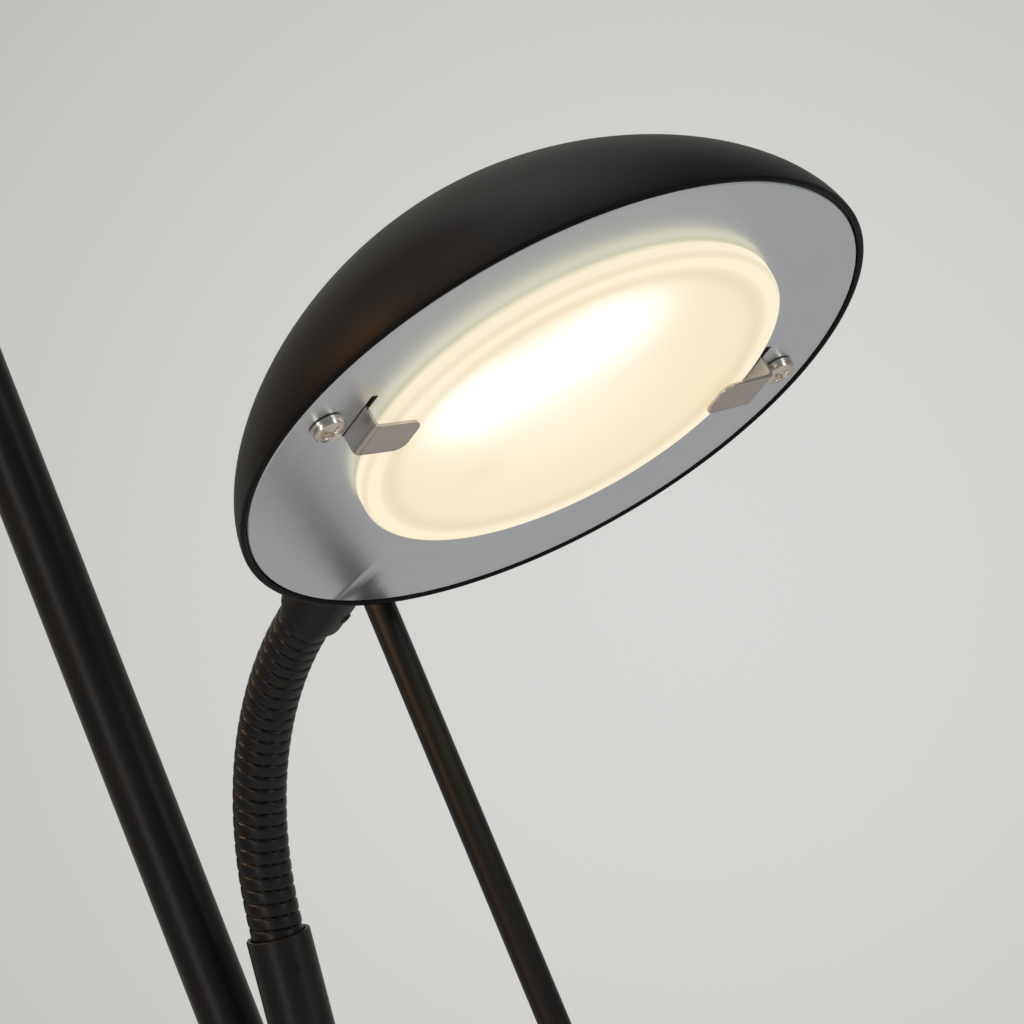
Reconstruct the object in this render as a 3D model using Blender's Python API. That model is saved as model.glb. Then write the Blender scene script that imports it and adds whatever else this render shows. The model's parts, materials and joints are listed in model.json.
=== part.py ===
"""Torchiere floor lamp: a weighted base, a sectional pole with an upward bowl on top,
and a reading head on a flexible neck that branches off the pole.

Metres, +Z up. The origin is the floor under the pole. The reading arm, its neck and the
neck's ferrule lie in the XZ plane and lean towards +X.
"""
import math
from dataclasses import dataclass

import bmesh
import bpy
from mathutils import Matrix, Vector

for old_object in list(bpy.data.objects):
    bpy.data.objects.remove(old_object, do_unlink=True)

# ---------------------------------------------------------------- driving dimensions
GAP = 0.0003                  # clearance between pieces that touch
SHEET = 0.0012                # pressed and spun sheet metal

BOWL_RIM_HEIGHT = 1.793       # face of the bowl's plate above the floor

BASE_RADIUS = 0.140
BASE_EDGE_HEIGHT = 0.014      # top of the cover's upright edge
BASE_CROWN = 0.014            # rise of the cover from its edge to the pole
FELT_THICKNESS = 0.002
FOOT_PLATE_THICKNESS = 0.0025
FOOT_DISH_RADIUS = 0.030      # raised middle of the foot plate, over the tie nut
FOOT_DISH_RISE = 0.0085
GLAND_BORE = 0.0026
GLAND_RADIUS = 0.0034
GLAND_REACH = 0.0045          # length of the gland inside the cover

POLE_RADIUS = 0.008
POLE_WALL = 0.0012
STUD_BORE = 0.0045            # wiring hole through every hollow stud
STUD_GRIP = 0.020             # length of a stud inside each tube

ARM_ROOT_HEIGHT = 1.025       # where the arm's axis meets the pole's axis
ARM_LEAN = math.radians(10.6)
ARM_LENGTH = 0.177            # from that crossing to the sleeve's mouth
ARM_RADIUS = 0.007
ARM_WALL = 0.001

BLOCK_FOOT = 0.010            # branch block's underside above the arm's root
BLOCK_HEIGHT = 0.100
BLOCK_BACK = 0.014            # from the pole's axis to the block's back
BLOCK_FRONT = 0.036
BLOCK_HALF_WIDTH = 0.016
BLOCK_WALL = 0.0025
BLOCK_CORNER = 0.005
SOCKET_DEPTH = 0.018

DIMMER_RADIUS = 0.008
DIMMER_LENGTH = 0.012
DIMMER_BUSH_RADIUS = 0.0045
DIMMER_SPACING = 0.035
KNOB_RADIUS = 0.012
KNOB_LENGTH = 0.014
KNOB_STEM_RADIUS = 0.003
KNOB_FLUTES = 12

SLEEVE_RADIUS = 0.0085        # the neck's lower sleeve and its upper ferrule
SLEEVE_LENGTH = 0.045
SET_SCREW_RADIUS = 0.0016

NECK_RADIUS = 0.007
NECK_LENGTH = 0.1005          # free length between sleeve and ferrule
NECK_TURN = math.radians(56.6)
NECK_LINKS = 4                # links between the two fixed ends
NECK_RIDGES = 3               # ridges on one link
NECK_GROOVE = 0.0005
NECK_GRIP = 0.010             # length held in the sleeve and in the ferrule
NECK_END_ANGLE = math.radians(11.0)

FERRULE_LENGTH = 0.0173
FERRULE_SCREW_HEIGHT = 0.0062
FERRULE_SCREW_ANGLE = math.radians(13)
SLEEVE_SCREW_DROP = 0.0084    # set screw below the sleeve's mouth
SLEEVE_SCREW_ANGLE = math.radians(-25.7)
HUB_REACH = 0.0176            # hub's free end beyond the dome's rim
HUB_AXIS_DEPTH = 0.0218       # hub axis behind the plate's face
HUB_BOLT_RADIUS = 0.0045
HUB_BOLT_BORE = 0.0028
HUB_BOLT_HEAD_RADIUS = 0.0075

HEAD_ROLL = math.radians(9.3)
ROD_RADIUS = 0.00375
ROD_LENGTH = 0.185
ROD_INSET = 0.0094            # rod axis, from the hub's free end
ROD_TURN = math.radians(-7.3) # rod about the hub's axis, from the head's own axis

CLIP_WIDTH = 0.011
CLIP_SHEET = 0.0008
SCREW_HEAD_RADIUS = 0.0042
SCREW_HEAD_HEIGHT = 0.0026
SCREW_RADIUS = 0.002


@dataclass
class Lamp:
    """Sizes of one lamp head, in its own frame: +Z runs from the plate into the dome."""
    plate_radius: float
    dome_depth: float
    glass_radius: float
    glass_thickness: float
    glass_shift: float        # glass and window centre off the dome's axis, along +X
    clip_reach: float         # from the clip's riser to the tip of its tongue
    riser_margin: float       # clip's riser outside the glass's radius
    foot_reach: float         # from the clip's riser to its screw
    clip_angles: tuple        # about the axis, from +X
    cup_depth: float
    cup_floor_radius: float
    sink_radius: float
    apex_hole: float
    segments: int
    lip: float = 0.0021       # width of the dome's rim beyond the plate
    wall: float = 0.0015
    plate: float = 0.0012
    ledge: float = 0.0015     # ledge under the plate's edge
    window_lap: float = 0.0075  # glass laps over the edge of the window

    @property
    def rim_radius(self):
        return self.plate_radius + GAP + self.lip

    @property
    def window_radius(self):
        return self.glass_radius - self.window_lap

    @property
    def riser_radius(self):
        return self.glass_radius + self.riser_margin

    @property
    def screw_radius(self):
        return self.riser_radius + self.foot_reach

    @property
    def foot_level(self):
        """Back of the clip's foot, where the yoke lies against it."""
        return self.plate + GAP + CLIP_SHEET + GAP

    @property
    def yoke_crown(self):
        return self.dome_depth - self.wall - 0.0035


READING = Lamp(
    plate_radius=0.080, dome_depth=0.0532, glass_radius=0.0551, glass_thickness=0.0046,
    glass_shift=0.005, clip_reach=0.0150, riser_margin=0.0069, foot_reach=0.0086,
    clip_angles=(math.radians(-86.6), math.radians(93.4)), cup_depth=0.0250,
    cup_floor_radius=0.023, sink_radius=0.022, apex_hole=SCREW_RADIUS + GAP, segments=32)

BOWL = Lamp(
    plate_radius=0.140, dome_depth=0.062, glass_radius=0.097, glass_thickness=0.005,
    glass_shift=0.0, clip_reach=0.0125, riser_margin=0.0065, foot_reach=0.009,
    clip_angles=(math.radians(-90), math.radians(90)), cup_depth=0.030,
    cup_floor_radius=0.036, sink_radius=0.034,
    apex_hole=POLE_RADIUS - POLE_WALL, segments=32)

# Stations on the hub's axis, measured from the reading head's axis.
HUB_MOUTH = READING.rim_radius + HUB_REACH
FERRULE_MOUTH = HUB_MOUTH + GAP + FERRULE_LENGTH
ROD_STATION = HUB_MOUTH - ROD_INSET

# ---------------------------------------------------------------- finishes


def finish(name, colour, roughness, metallic=0.0):
    material = bpy.data.materials.new(name)
    material.use_nodes = True
    shader = material.node_tree.nodes["Principled BSDF"]
    shader.inputs["Base Color"].default_value = (*colour, 1.0)
    shader.inputs["Roughness"].default_value = roughness
    shader.inputs["Metallic"].default_value = metallic
    return material


BLACK_PAINT = finish("black_paint", (0.020, 0.019, 0.018), 0.38)
BRUSHED_ALUMINIUM = finish("brushed_aluminium", (0.60, 0.60, 0.61), 0.36, 1.0)
FROSTED_GLASS = finish("frosted_glass", (0.95, 0.90, 0.78), 0.55)
NICKEL = finish("nickel", (0.62, 0.58, 0.53), 0.25, 1.0)
ZINC_STEEL = finish("zinc_steel", (0.55, 0.55, 0.54), 0.42, 1.0)
CAST_IRON = finish("cast_iron", (0.10, 0.10, 0.10), 0.75, 1.0)
BLACK_PLASTIC = finish("black_plastic", (0.025, 0.025, 0.026), 0.5)
BLACK_FELT = finish("black_felt", (0.03, 0.03, 0.032), 0.95)
SINK_ALUMINIUM = finish("sink_aluminium", (0.70, 0.71, 0.72), 0.5, 1.0)
REFLECTOR_ALUMINIUM = finish("reflector_aluminium", (0.86, 0.86, 0.85), 0.15, 1.0)
LED_WHITE = finish("led_white", (0.90, 0.88, 0.80), 0.5)

# ---------------------------------------------------------------- modelling helpers


def add(name, shape, material, parent=None, place=None):
    """Object of a finished bmesh, placed in its parent's frame."""
    mesh = bpy.data.meshes.new(name)
    shape.normal_update()
    shape.to_mesh(mesh)
    shape.free()
    mesh.shade_smooth()
    mesh.set_sharp_from_angle(angle=math.radians(35))
    mesh.materials.append(material)
    piece = bpy.data.objects.new(name, mesh)
    bpy.context.scene.collection.objects.link(piece)
    piece.parent = parent
    if place is not None:
        piece.matrix_basis = place
    return piece


def marker(name, place, parent=None):
    """Empty that carries a frame or a joint's axis."""
    empty = bpy.data.objects.new(name, None)
    empty.empty_display_size = 0.01
    bpy.context.scene.collection.objects.link(empty)
    empty.parent = parent
    empty.matrix_basis = place
    return empty


def boolean(piece, operation, shape, name, place=None):
    """Boolean of a shape given in the piece's parent frame."""
    tool = add(name, shape, BLACK_PLASTIC, piece.parent, place)
    tool.hide_render = True
    tool.display_type = "WIRE"
    modifier = piece.modifiers.new(name, "BOOLEAN")
    modifier.object = tool
    modifier.operation = operation
    modifier.solver = "EXACT"


def turned(outline, segments=16):
    """Closed (radius, height) outline turned about Z."""
    shape = bmesh.new()
    ring = [shape.verts.new((radius, 0.0, height)) for radius, height in outline]
    edges = [shape.edges.new((ring[i - 1], ring[i])) for i in range(len(ring))
             if ring[i - 1].co.x > 0 or ring[i].co.x > 0]
    bmesh.ops.spin(shape, geom=ring + edges, cent=(0, 0, 0), axis=(0, 0, 1),
                   angle=2 * math.pi, steps=segments, use_merge=True)
    bmesh.ops.remove_doubles(shape, verts=shape.verts, dist=1e-6)
    bmesh.ops.recalc_face_normals(shape, faces=shape.faces)
    return shape


def tube(inner, outer, low, high, segments=16):
    """Plain tube, or a rod where the inner radius is zero."""
    return turned([(inner, low), (outer, low), (outer, high), (inner, high)], segments)


def box(low, high):
    """Box between two corners."""
    shape = bmesh.new()
    size = Vector(high) - Vector(low)
    middle = (Vector(high) + Vector(low)) / 2
    bmesh.ops.create_cube(shape, size=1.0, matrix=Matrix.Translation(middle)
                          @ Matrix.Diagonal((*size, 1.0)))
    return shape


def moved(shape, place):
    bmesh.ops.transform(shape, matrix=place, verts=shape.verts)
    return shape


def gathered(shapes):
    """One bmesh that holds several separate shapes."""
    whole = bmesh.new()
    for shape in shapes:
        mesh = bpy.data.meshes.new("loose")
        shape.to_mesh(mesh)
        shape.free()
        whole.from_mesh(mesh)
        bpy.data.meshes.remove(mesh)
    return whole


def prism(outline, width):
    """Closed (y, z) outline extruded along X, centred on X = 0."""
    shape = bmesh.new()
    face = shape.faces.new([shape.verts.new((-width / 2, y, z)) for y, z in outline])
    grown = bmesh.ops.extrude_face_region(shape, geom=[face])["geom"]
    bmesh.ops.translate(shape, vec=(width, 0, 0),
                        verts=[v for v in grown if isinstance(v, bmesh.types.BMVert)])
    bmesh.ops.recalc_face_normals(shape, faces=shape.faces)
    return shape


def strap_outline(path, thickness):
    """Both sides of a sheet strip whose middle follows a (y, z) path."""
    points = [Vector(point) for point in path]
    sides = ([], [])
    for i, point in enumerate(points):
        before = (point - points[i - 1]).normalized() if i else None
        after = (points[i + 1] - point).normalized() if i + 1 < len(points) else None
        along = ((before or after) + (after or before)).normalized()
        across = Vector((-along.y, along.x))
        spread = thickness / 2 / max(along.dot(after or before), 0.3)
        sides[0].append(point + across * spread)
        sides[1].append(point - across * spread)
    return sides[0] + sides[1][::-1]


def hollow_bolt(across_flats, low, seat, tip):
    """Bolt with a wiring bore: a hexagon head from low to its seat, then a round shank to its tip."""
    shape = turned([(STUD_BORE, low), (across_flats / math.sqrt(3), low), (across_flats / math.sqrt(3), seat),
                    (STUD_RADIUS, seat), (STUD_RADIUS, tip), (STUD_BORE, tip)], 12)
    apothem = across_flats / 2
    for vertex in shape.verts:
        reach = math.hypot(vertex.co.x, vertex.co.y)
        if reach > STUD_RADIUS + 0.001:
            angle = math.atan2(vertex.co.y, vertex.co.x) % (math.pi / 3) - math.pi / 6
            vertex.co.xy *= apothem / math.cos(angle) / reach
    return shape


def pan_screw(length):
    """Pan-head screw: the seat of its head at Z = 0, its shank towards +Z."""
    radius, height = SCREW_HEAD_RADIUS, SCREW_HEAD_HEIGHT
    return turned([(0, -height), (0.55 * radius, -0.93 * height), (0.9 * radius, -0.6 * height),
                   (radius, -0.2 * height), (radius, 0), (SCREW_RADIUS, 0),
                   (SCREW_RADIUS, length), (0, length)], 12)


def cross_cutter():
    """Cross-shaped prism that sinks the driver's recess into a pan head."""
    blade, half, depth = 0.0005, 0.0024, 0.0013
    arm = [(blade, blade), (half, blade), (half, -blade), (blade, -blade)]
    outline = [Matrix.Rotation(-math.pi / 2 * i, 2) @ Vector(point) for i in range(4) for point in arm[:3]]
    shape = prism(outline, depth + 0.001)
    return moved(shape, Matrix.Translation((0, 0, -SCREW_HEAD_HEIGHT + (depth - 0.001) / 2))
                 @ Matrix.Rotation(math.pi / 2, 4, "Y"))


def about_z(angle):
    return Matrix.Rotation(angle, 4, "Z")


# ---------------------------------------------------------------- frames of the arm and the head

FULL_CIRCLE = 2 * math.pi


def leaning(point, lean):
    """Frame in the XZ plane whose +Z leans by an angle from upright towards +X."""
    return Matrix.Translation(point) @ Matrix.Rotation(lean, 4, "Y")


NECK_BEND_RADIUS = NECK_LENGTH / NECK_TURN
ARM_ROOT = leaning((0, 0, ARM_ROOT_HEIGHT), ARM_LEAN)
SLEEVE_MOUTH = ARM_ROOT @ Matrix.Translation((0, 0, ARM_LENGTH))


def neck_frame(station):
    """Frame on the neck's middle line, a length above the sleeve's mouth."""
    turn = station / NECK_BEND_RADIUS
    arc = (NECK_BEND_RADIUS * (1 - math.cos(turn)), 0, NECK_BEND_RADIUS * math.sin(turn))
    return SLEEVE_MOUTH @ Matrix.Translation(arc) @ Matrix.Rotation(turn, 4, "Y")


NECK_TOP = neck_frame(NECK_LENGTH)


def head_frame():
    """Reading head: +X points away from the ferrule, +Z into the dome, origin on the plate's face."""
    along = NECK_TOP.to_3x3() @ Vector((0, 0, 1))
    level = Vector((0, 1, 0))
    back = along.cross(level)
    back = math.cos(HEAD_ROLL) * back + math.sin(HEAD_ROLL) * level
    side = back.cross(along)
    origin = NECK_TOP.translation + FERRULE_MOUTH * along - HUB_AXIS_DEPTH * back
    turn = Matrix((along, side, back)).transposed()
    return Matrix.Translation(origin) @ turn.to_4x4()


# The hub's own frame inside the head's: +Z points from the ferrule towards the dome,
# and its origin is where the hub's axis crosses the head's axis.
HUB_IN_HEAD = Matrix.Translation((0, 0, HUB_AXIS_DEPTH)) @ Matrix.Rotation(math.pi / 2, 4, "Y")

# ---------------------------------------------------------------- base

FELT_TOP = FELT_THICKNESS
PLATE_LOW = FELT_TOP + GAP
PLATE_TOP = PLATE_LOW + FOOT_PLATE_THICKNESS
COVER_TOP = BASE_EDGE_HEIGHT + BASE_CROWN
STUD_RADIUS = POLE_RADIUS - POLE_WALL - GAP
COVER_STEPS = 3
BASE_SEGMENTS = 32


def crown(radius, height, reach):
    """Quarter wave from the cover's edge up to its flat top."""
    return [(reach + (radius - reach) * (0.5 + 0.5 * math.cos(math.pi * i / COVER_STEPS)),
             BASE_EDGE_HEIGHT - (COVER_TOP - height) + BASE_CROWN * math.sin(math.pi / 2 * i / COVER_STEPS))
            for i in range(COVER_STEPS + 1)]


def build_base():
    top_radius = 0.022
    add("base_felt", tube(0, BASE_RADIUS - 0.008, 0, FELT_TOP, BASE_SEGMENTS), BLACK_FELT)

    plate_radius = BASE_RADIUS - SHEET - GAP
    dish = FOOT_DISH_RADIUS
    slope = 0.006
    bore = STUD_RADIUS + GAP
    dish_top = PLATE_TOP + FOOT_DISH_RISE
    add("base_plate", turned([
        (plate_radius, PLATE_LOW), (plate_radius, PLATE_TOP), (dish + slope, PLATE_TOP),
        (dish, dish_top), (bore, dish_top), (bore, dish_top - FOOT_PLATE_THICKNESS),
        (dish - FOOT_PLATE_THICKNESS / 2, dish_top - FOOT_PLATE_THICKNESS),
        (dish + slope - FOOT_PLATE_THICKNESS / 2, PLATE_LOW)], BASE_SEGMENTS), ZINC_STEEL)

    weight_radius = BASE_RADIUS - SHEET - 0.006
    under_cover = COVER_TOP - SHEET - GAP
    weight_top = crown(weight_radius, under_cover, top_radius)
    add("base_weight", turned([
        (weight_radius, PLATE_TOP + GAP), *weight_top, (bore, under_cover),
        (bore, dish_top + GAP), (dish + GAP, dish_top + GAP),
        (dish + slope + GAP, PLATE_TOP + GAP)], BASE_SEGMENTS), CAST_IRON)

    cover = add("base_cover", turned([
        (BASE_RADIUS, PLATE_LOW), *crown(BASE_RADIUS, COVER_TOP, top_radius), (bore, COVER_TOP),
        (bore, COVER_TOP - SHEET), *crown(BASE_RADIUS - SHEET, COVER_TOP - SHEET, top_radius)[::-1],
        (BASE_RADIUS - SHEET, PLATE_LOW)], BASE_SEGMENTS), BLACK_PAINT)
    gland_level = (PLATE_TOP + GAP + BASE_EDGE_HEIGHT - SHEET) / 2
    gland_place = Matrix.Translation((-BASE_RADIUS, 0, gland_level)) @ Matrix.Rotation(-math.pi / 2, 4, "Y")
    hole_sides = 16
    boolean(cover, "DIFFERENCE", tube(0, GLAND_RADIUS + GAP, -GLAND_REACH - GAP, 0.004, hole_sides),
            "gland_hole", gland_place @ about_z(math.pi / hole_sides))
    flange = GLAND_RADIUS + 0.0012
    add("cord_gland", turned([
        (GLAND_BORE, -GLAND_REACH), (GLAND_RADIUS, -GLAND_REACH), (GLAND_RADIUS, GAP * 2), (flange, GAP * 2),
        (flange, 0.002), (GLAND_RADIUS - 0.0006, 0.005), (GLAND_BORE, 0.005)], 14),
        BLACK_PLASTIC, None, gland_place)

    add("tie_bolt", hollow_bolt(0.019, PLATE_LOW + 0.001, dish_top - FOOT_PLATE_THICKNESS - GAP,
                                COVER_TOP + STUD_GRIP), ZINC_STEEL)
    collar_bore = POLE_RADIUS + GAP
    skirt, shoulder = POLE_RADIUS + 0.0085, POLE_RADIUS + 0.0045
    add("pole_collar", turned([
        (collar_bore, COVER_TOP + GAP), (skirt, COVER_TOP + GAP), (skirt, COVER_TOP + 0.003),
        (shoulder, COVER_TOP + 0.010), (collar_bore, COVER_TOP + 0.012)], 20), BLACK_PAINT)


# ---------------------------------------------------------------- pole

BLOCK_LOW = ARM_ROOT_HEIGHT + BLOCK_FOOT
BLOCK_TOP = BLOCK_LOW + BLOCK_HEIGHT
BOWL_APEX = BOWL_RIM_HEIGHT - BOWL.dome_depth
COLLAR_HEIGHT = 0.010


def build_pole():
    """Three tubes: two below the branch block, joined end to end by a hollow stud, and one above it."""
    low, high = COVER_TOP + GAP, BLOCK_LOW + SOCKET_DEPTH
    joint = (low + high) / 2
    runs = {"pole_lower": (low, joint - GAP / 2),
            "pole_middle": (joint + GAP / 2, high),
            "pole_upper": (BLOCK_TOP - SOCKET_DEPTH, BOWL_APEX - COLLAR_HEIGHT)}
    bevel = 0.0004
    for name, (low, high) in runs.items():
        inner, outer = POLE_RADIUS - POLE_WALL, POLE_RADIUS
        add(name, turned([(inner, low), (outer - bevel, low), (outer, low + bevel),
                          (outer, high - bevel), (outer - bevel, high), (inner, high)]), BLACK_PAINT)
    add("pole_stud", tube(STUD_BORE, STUD_RADIUS, joint - STUD_GRIP, joint + STUD_GRIP), ZINC_STEEL)


# ---------------------------------------------------------------- branch block, dimmers and knobs

DIMMER_MIDDLE = BLOCK_LOW + BLOCK_HEIGHT / 2
DIMMER_LEVELS = {"reading": DIMMER_MIDDLE + DIMMER_SPACING / 2, "uplight": DIMMER_MIDDLE - DIMMER_SPACING / 2}


def forward(level):
    """Frame on a dimmer's axis: +Z points out of the block's front, origin on the front face."""
    return Matrix.Translation((BLOCK_FRONT, 0, level)) @ Matrix.Rotation(math.pi / 2, 4, "Y")


def build_block():
    shape = box((-BLOCK_BACK, -BLOCK_HALF_WIDTH, BLOCK_LOW), (BLOCK_FRONT, BLOCK_HALF_WIDTH, BLOCK_TOP))
    uprights = [e for e in shape.edges if abs(e.verts[0].co.z - e.verts[1].co.z) > BLOCK_HEIGHT / 2]
    bmesh.ops.bevel(shape, geom=uprights, offset=BLOCK_CORNER, segments=4, affect="EDGES", profile=0.5)
    body = add("branch_body", shape, BLACK_PAINT)

    end_wall = SOCKET_DEPTH + GAP + 0.001
    lid_recess = 0.0022
    hollow_low = (-BLOCK_BACK + BLOCK_WALL, -BLOCK_HALF_WIDTH + BLOCK_WALL, BLOCK_LOW + end_wall)
    hollow_high = (BLOCK_FRONT - BLOCK_WALL, BLOCK_HALF_WIDTH + 0.01, BLOCK_TOP - end_wall)
    boolean(body, "DIFFERENCE", box(hollow_low, hollow_high), "block_hollow")
    lid_margin = 0.010
    lid_low = (-BLOCK_BACK + BLOCK_CORNER, BLOCK_HALF_WIDTH - lid_recess, BLOCK_LOW + end_wall - lid_margin)
    lid_high = (BLOCK_FRONT - BLOCK_CORNER, BLOCK_HALF_WIDTH - 0.0002, BLOCK_TOP - end_wall + lid_margin)
    recess_high = (lid_high[0], BLOCK_HALF_WIDTH + 0.01, lid_high[2])
    boolean(body, "DIFFERENCE", box(lid_low, recess_high), "lid_recess")

    pole_hole = POLE_RADIUS + GAP
    for name, low, high in (("lower_socket", BLOCK_LOW - 0.005, BLOCK_LOW + SOCKET_DEPTH + GAP),
                            ("upper_socket", BLOCK_TOP - SOCKET_DEPTH - GAP, BLOCK_TOP + 0.005)):
        boolean(body, "DIFFERENCE", tube(0, pole_hole, low, high, 24), name)
    boolean(body, "DIFFERENCE", tube(0, STUD_BORE, BLOCK_LOW + 0.001, BLOCK_TOP - 0.001, 16), "wire_way")
    boolean(body, "DIFFERENCE", tube(0, ARM_RADIUS + GAP, arm_foot() - GAP, arm_foot() + 0.04, 24),
            "arm_socket", ARM_ROOT)

    lid = add("branch_cover", box(Vector(lid_low) + Vector((GAP, GAP, GAP)),
                                  Vector(lid_high) - Vector((GAP, 0, GAP))), BLACK_PAINT)
    inset, shank, bite = 0.005, 0.0011, 0.0075
    place = Matrix.Translation((lid_high[0] - inset, BLOCK_HALF_WIDTH, lid_low[2] + inset)) \
        @ Matrix.Rotation(math.pi / 2, 4, "X")
    add("cover_screw", turned([(0, -0.0010), (0.0021, -0.0007), (0.0023, -GAP), (shank, -GAP),
                               (shank, bite), (0, bite)], 14), ZINC_STEEL, None, place)
    for piece in (body, lid):
        boolean(piece, "DIFFERENCE", tube(0, shank + GAP, -0.003, bite + 0.001, 14),
                piece.name + "_screw_hole", place)
    for name, level in DIMMER_LEVELS.items():
        boolean(body, "DIFFERENCE", tube(0, DIMMER_BUSH_RADIUS + GAP, -0.006, 0.004, 16),
                name + "_bush_hole", forward(level))

    for name, level in DIMMER_LEVELS.items():
        rear = -BLOCK_WALL - GAP
        stem_bore = KNOB_STEM_RADIUS + GAP
        add("dimmer_" + name, turned([
            (0, rear - DIMMER_LENGTH), (DIMMER_RADIUS, rear - DIMMER_LENGTH), (DIMMER_RADIUS, rear),
            (DIMMER_BUSH_RADIUS, rear), (DIMMER_BUSH_RADIUS, 0.0015), (stem_bore, 0.0015),
            (stem_bore, rear - 0.004), (0, rear - 0.004)], 14), BLACK_PLASTIC, None, forward(level))
        add("knob_" + name, knob(rear - 0.004 + GAP), BLACK_PLASTIC, None, forward(level))


def knob(stem_end):
    """Fluted knob on its stem, with the front face domed and the axis along Z."""
    low, high = 0.0022, 0.0022 + KNOB_LENGTH
    profile = [(KNOB_STEM_RADIUS, stem_end), (KNOB_STEM_RADIUS, low), (KNOB_RADIUS, low),
               (KNOB_RADIUS, high - 0.003), (KNOB_RADIUS - 0.0016, high - 0.0006),
               (0.6 * KNOB_RADIUS, high)]
    shape = turned([(0, stem_end), *profile, (0, high)], KNOB_FLUTES * 2)
    for vertex in shape.verts:
        radius = math.hypot(vertex.co.x, vertex.co.y)
        if radius < KNOB_RADIUS - 0.0005:
            continue
        angle = math.atan2(vertex.co.y, vertex.co.x)
        if round(angle / FULL_CIRCLE * 2 * KNOB_FLUTES) % 2:
            vertex.co.xy *= 1 - 0.0007 / radius
    return shape


# ---------------------------------------------------------------- arm, sleeve and flexible neck


def arm_foot():
    """Foot of the arm's socket in the block, along the arm's axis."""
    return (BLOCK_TOP - ARM_ROOT_HEIGHT) / math.cos(ARM_LEAN) - SOCKET_DEPTH + 0.003


def set_screw(name, parent, place):
    """Slotless set screw whose flat end stands a little proud of the sleeve."""
    length = SLEEVE_RADIUS - NECK_RADIUS - 2 * GAP + 0.0004
    shape = turned([(0, -length), (SET_SCREW_RADIUS, -length), (SET_SCREW_RADIUS, 0.0),
                    (SET_SCREW_RADIUS - 0.0004, 0.0003), (0, 0.0003)], 14)
    add(name, shape, BLACK_PAINT, parent, place)
    return tube(0, SET_SCREW_RADIUS + GAP, -length - GAP, 0.003, 14)


def radial(station, angle, radius):
    """Frame on a tube's wall, +Z pointing outwards, at a height and an angle about its axis."""
    outward = Matrix.Rotation(angle, 4, "Z") @ Matrix.Rotation(math.pi / 2, 4, "Y")
    return Matrix.Translation((0, 0, station)) @ outward @ Matrix.Translation((0, 0, radius))


def build_arm():
    arm = marker("arm_axis", ARM_ROOT)
    sleeve_low = ARM_LENGTH - SLEEVE_LENGTH
    arm_end = ARM_LENGTH - NECK_GRIP - GAP - 0.004
    add("arm_tube", tube(ARM_RADIUS - ARM_WALL, ARM_RADIUS, arm_foot() + GAP, arm_end), BLACK_PAINT, arm)
    # The bore fits the arm below and the neck above, with the step between their ends.
    arm_bore, neck_bore, rim = ARM_RADIUS + GAP, NECK_RADIUS + GAP, 0.0005
    step = arm_end + GAP
    sleeve = add("neck_sleeve", turned([
        (arm_bore, sleeve_low), (SLEEVE_RADIUS - rim, sleeve_low), (SLEEVE_RADIUS, sleeve_low + rim),
        (SLEEVE_RADIUS, ARM_LENGTH - rim), (SLEEVE_RADIUS - rim, ARM_LENGTH), (neck_bore, ARM_LENGTH),
        (neck_bore, step), (arm_bore, step)]), BLACK_PAINT, arm)
    place = radial(ARM_LENGTH - SLEEVE_SCREW_DROP, SLEEVE_SCREW_ANGLE, SLEEVE_RADIUS)
    boolean(sleeve, "DIFFERENCE", set_screw("sleeve_screw", arm, place), "sleeve_screw_hole", place)


def neck_piece(start, end, open_start, open_end):
    """(Station, radius) pairs of one ribbed length. An open end is a shallow cone, so that it can tilt."""
    reach = GAP / 2 + NECK_RADIUS * math.tan(NECK_END_ANGLE)
    tip = 0.0008
    tip_offset = GAP / 2 + tip * math.tan(NECK_END_ANGLE)
    body_start = start + (reach if open_start else 0)
    body_end = end - (reach if open_end else 0)
    stations = [(start + tip_offset, tip)] if open_start else []
    pitch = (body_end - body_start) / NECK_RIDGES
    for i in range(NECK_RIDGES):
        low = body_start + i * pitch
        stations += [(low + 0.14 * pitch, NECK_RADIUS), (low + 0.86 * pitch, NECK_RADIUS)]
        if i + 1 < NECK_RIDGES:
            stations.append((low + pitch, NECK_RADIUS - NECK_GROOVE))
    stations += [(end - tip_offset, tip)] if open_end else []
    return stations


def swept(stations, segments=12):
    """Skin through rings on the neck's middle line. Below the sleeve's mouth and above the
    ferrule's mouth the line runs on straight."""
    shape = bmesh.new()
    rings = []
    for station, radius in stations:
        held = min(max(station, 0.0), NECK_LENGTH)
        frame = neck_frame(held) @ Matrix.Translation((0, 0, station - held))
        rings.append([shape.verts.new(frame @ Vector((radius * math.cos(FULL_CIRCLE * i / segments),
                                                      radius * math.sin(FULL_CIRCLE * i / segments), 0)))
                      for i in range(segments)])
    for low, high in zip(rings, rings[1:]):
        for i in range(segments):
            shape.faces.new((low[i - 1], low[i], high[i], high[i - 1]))
    shape.faces.new(rings[0][::-1])
    shape.faces.new(rings[-1])
    bmesh.ops.recalc_face_normals(shape, faces=shape.faces)
    return shape


def build_neck():
    """Flexible neck as a chain: a fixed foot, four links and an end in the ferrule."""
    hinges = [NECK_LENGTH * (i + 0.5) / (NECK_LINKS + 1) for i in range(NECK_LINKS + 1)]
    pieces = [("neck_foot", -NECK_GRIP, hinges[0], False, True, 0.0)]
    for i in range(NECK_LINKS):
        pieces.append((f"neck_link_{i + 1}", hinges[i], hinges[i + 1], True, True, hinges[i]))
    pieces.append(("neck_end", hinges[-1], NECK_LENGTH + NECK_GRIP, True, False, hinges[-1]))
    for name, start, end, open_start, open_end, origin in pieces:
        frame = neck_frame(origin)
        shape = moved(swept(neck_piece(start, end, open_start, open_end)), frame.inverted())
        add(name, shape, BLACK_PAINT, None, frame)


# ---------------------------------------------------------------- parts of a lamp head


DOME_FLANK = 1.21             # power of the dome's superellipse


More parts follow.
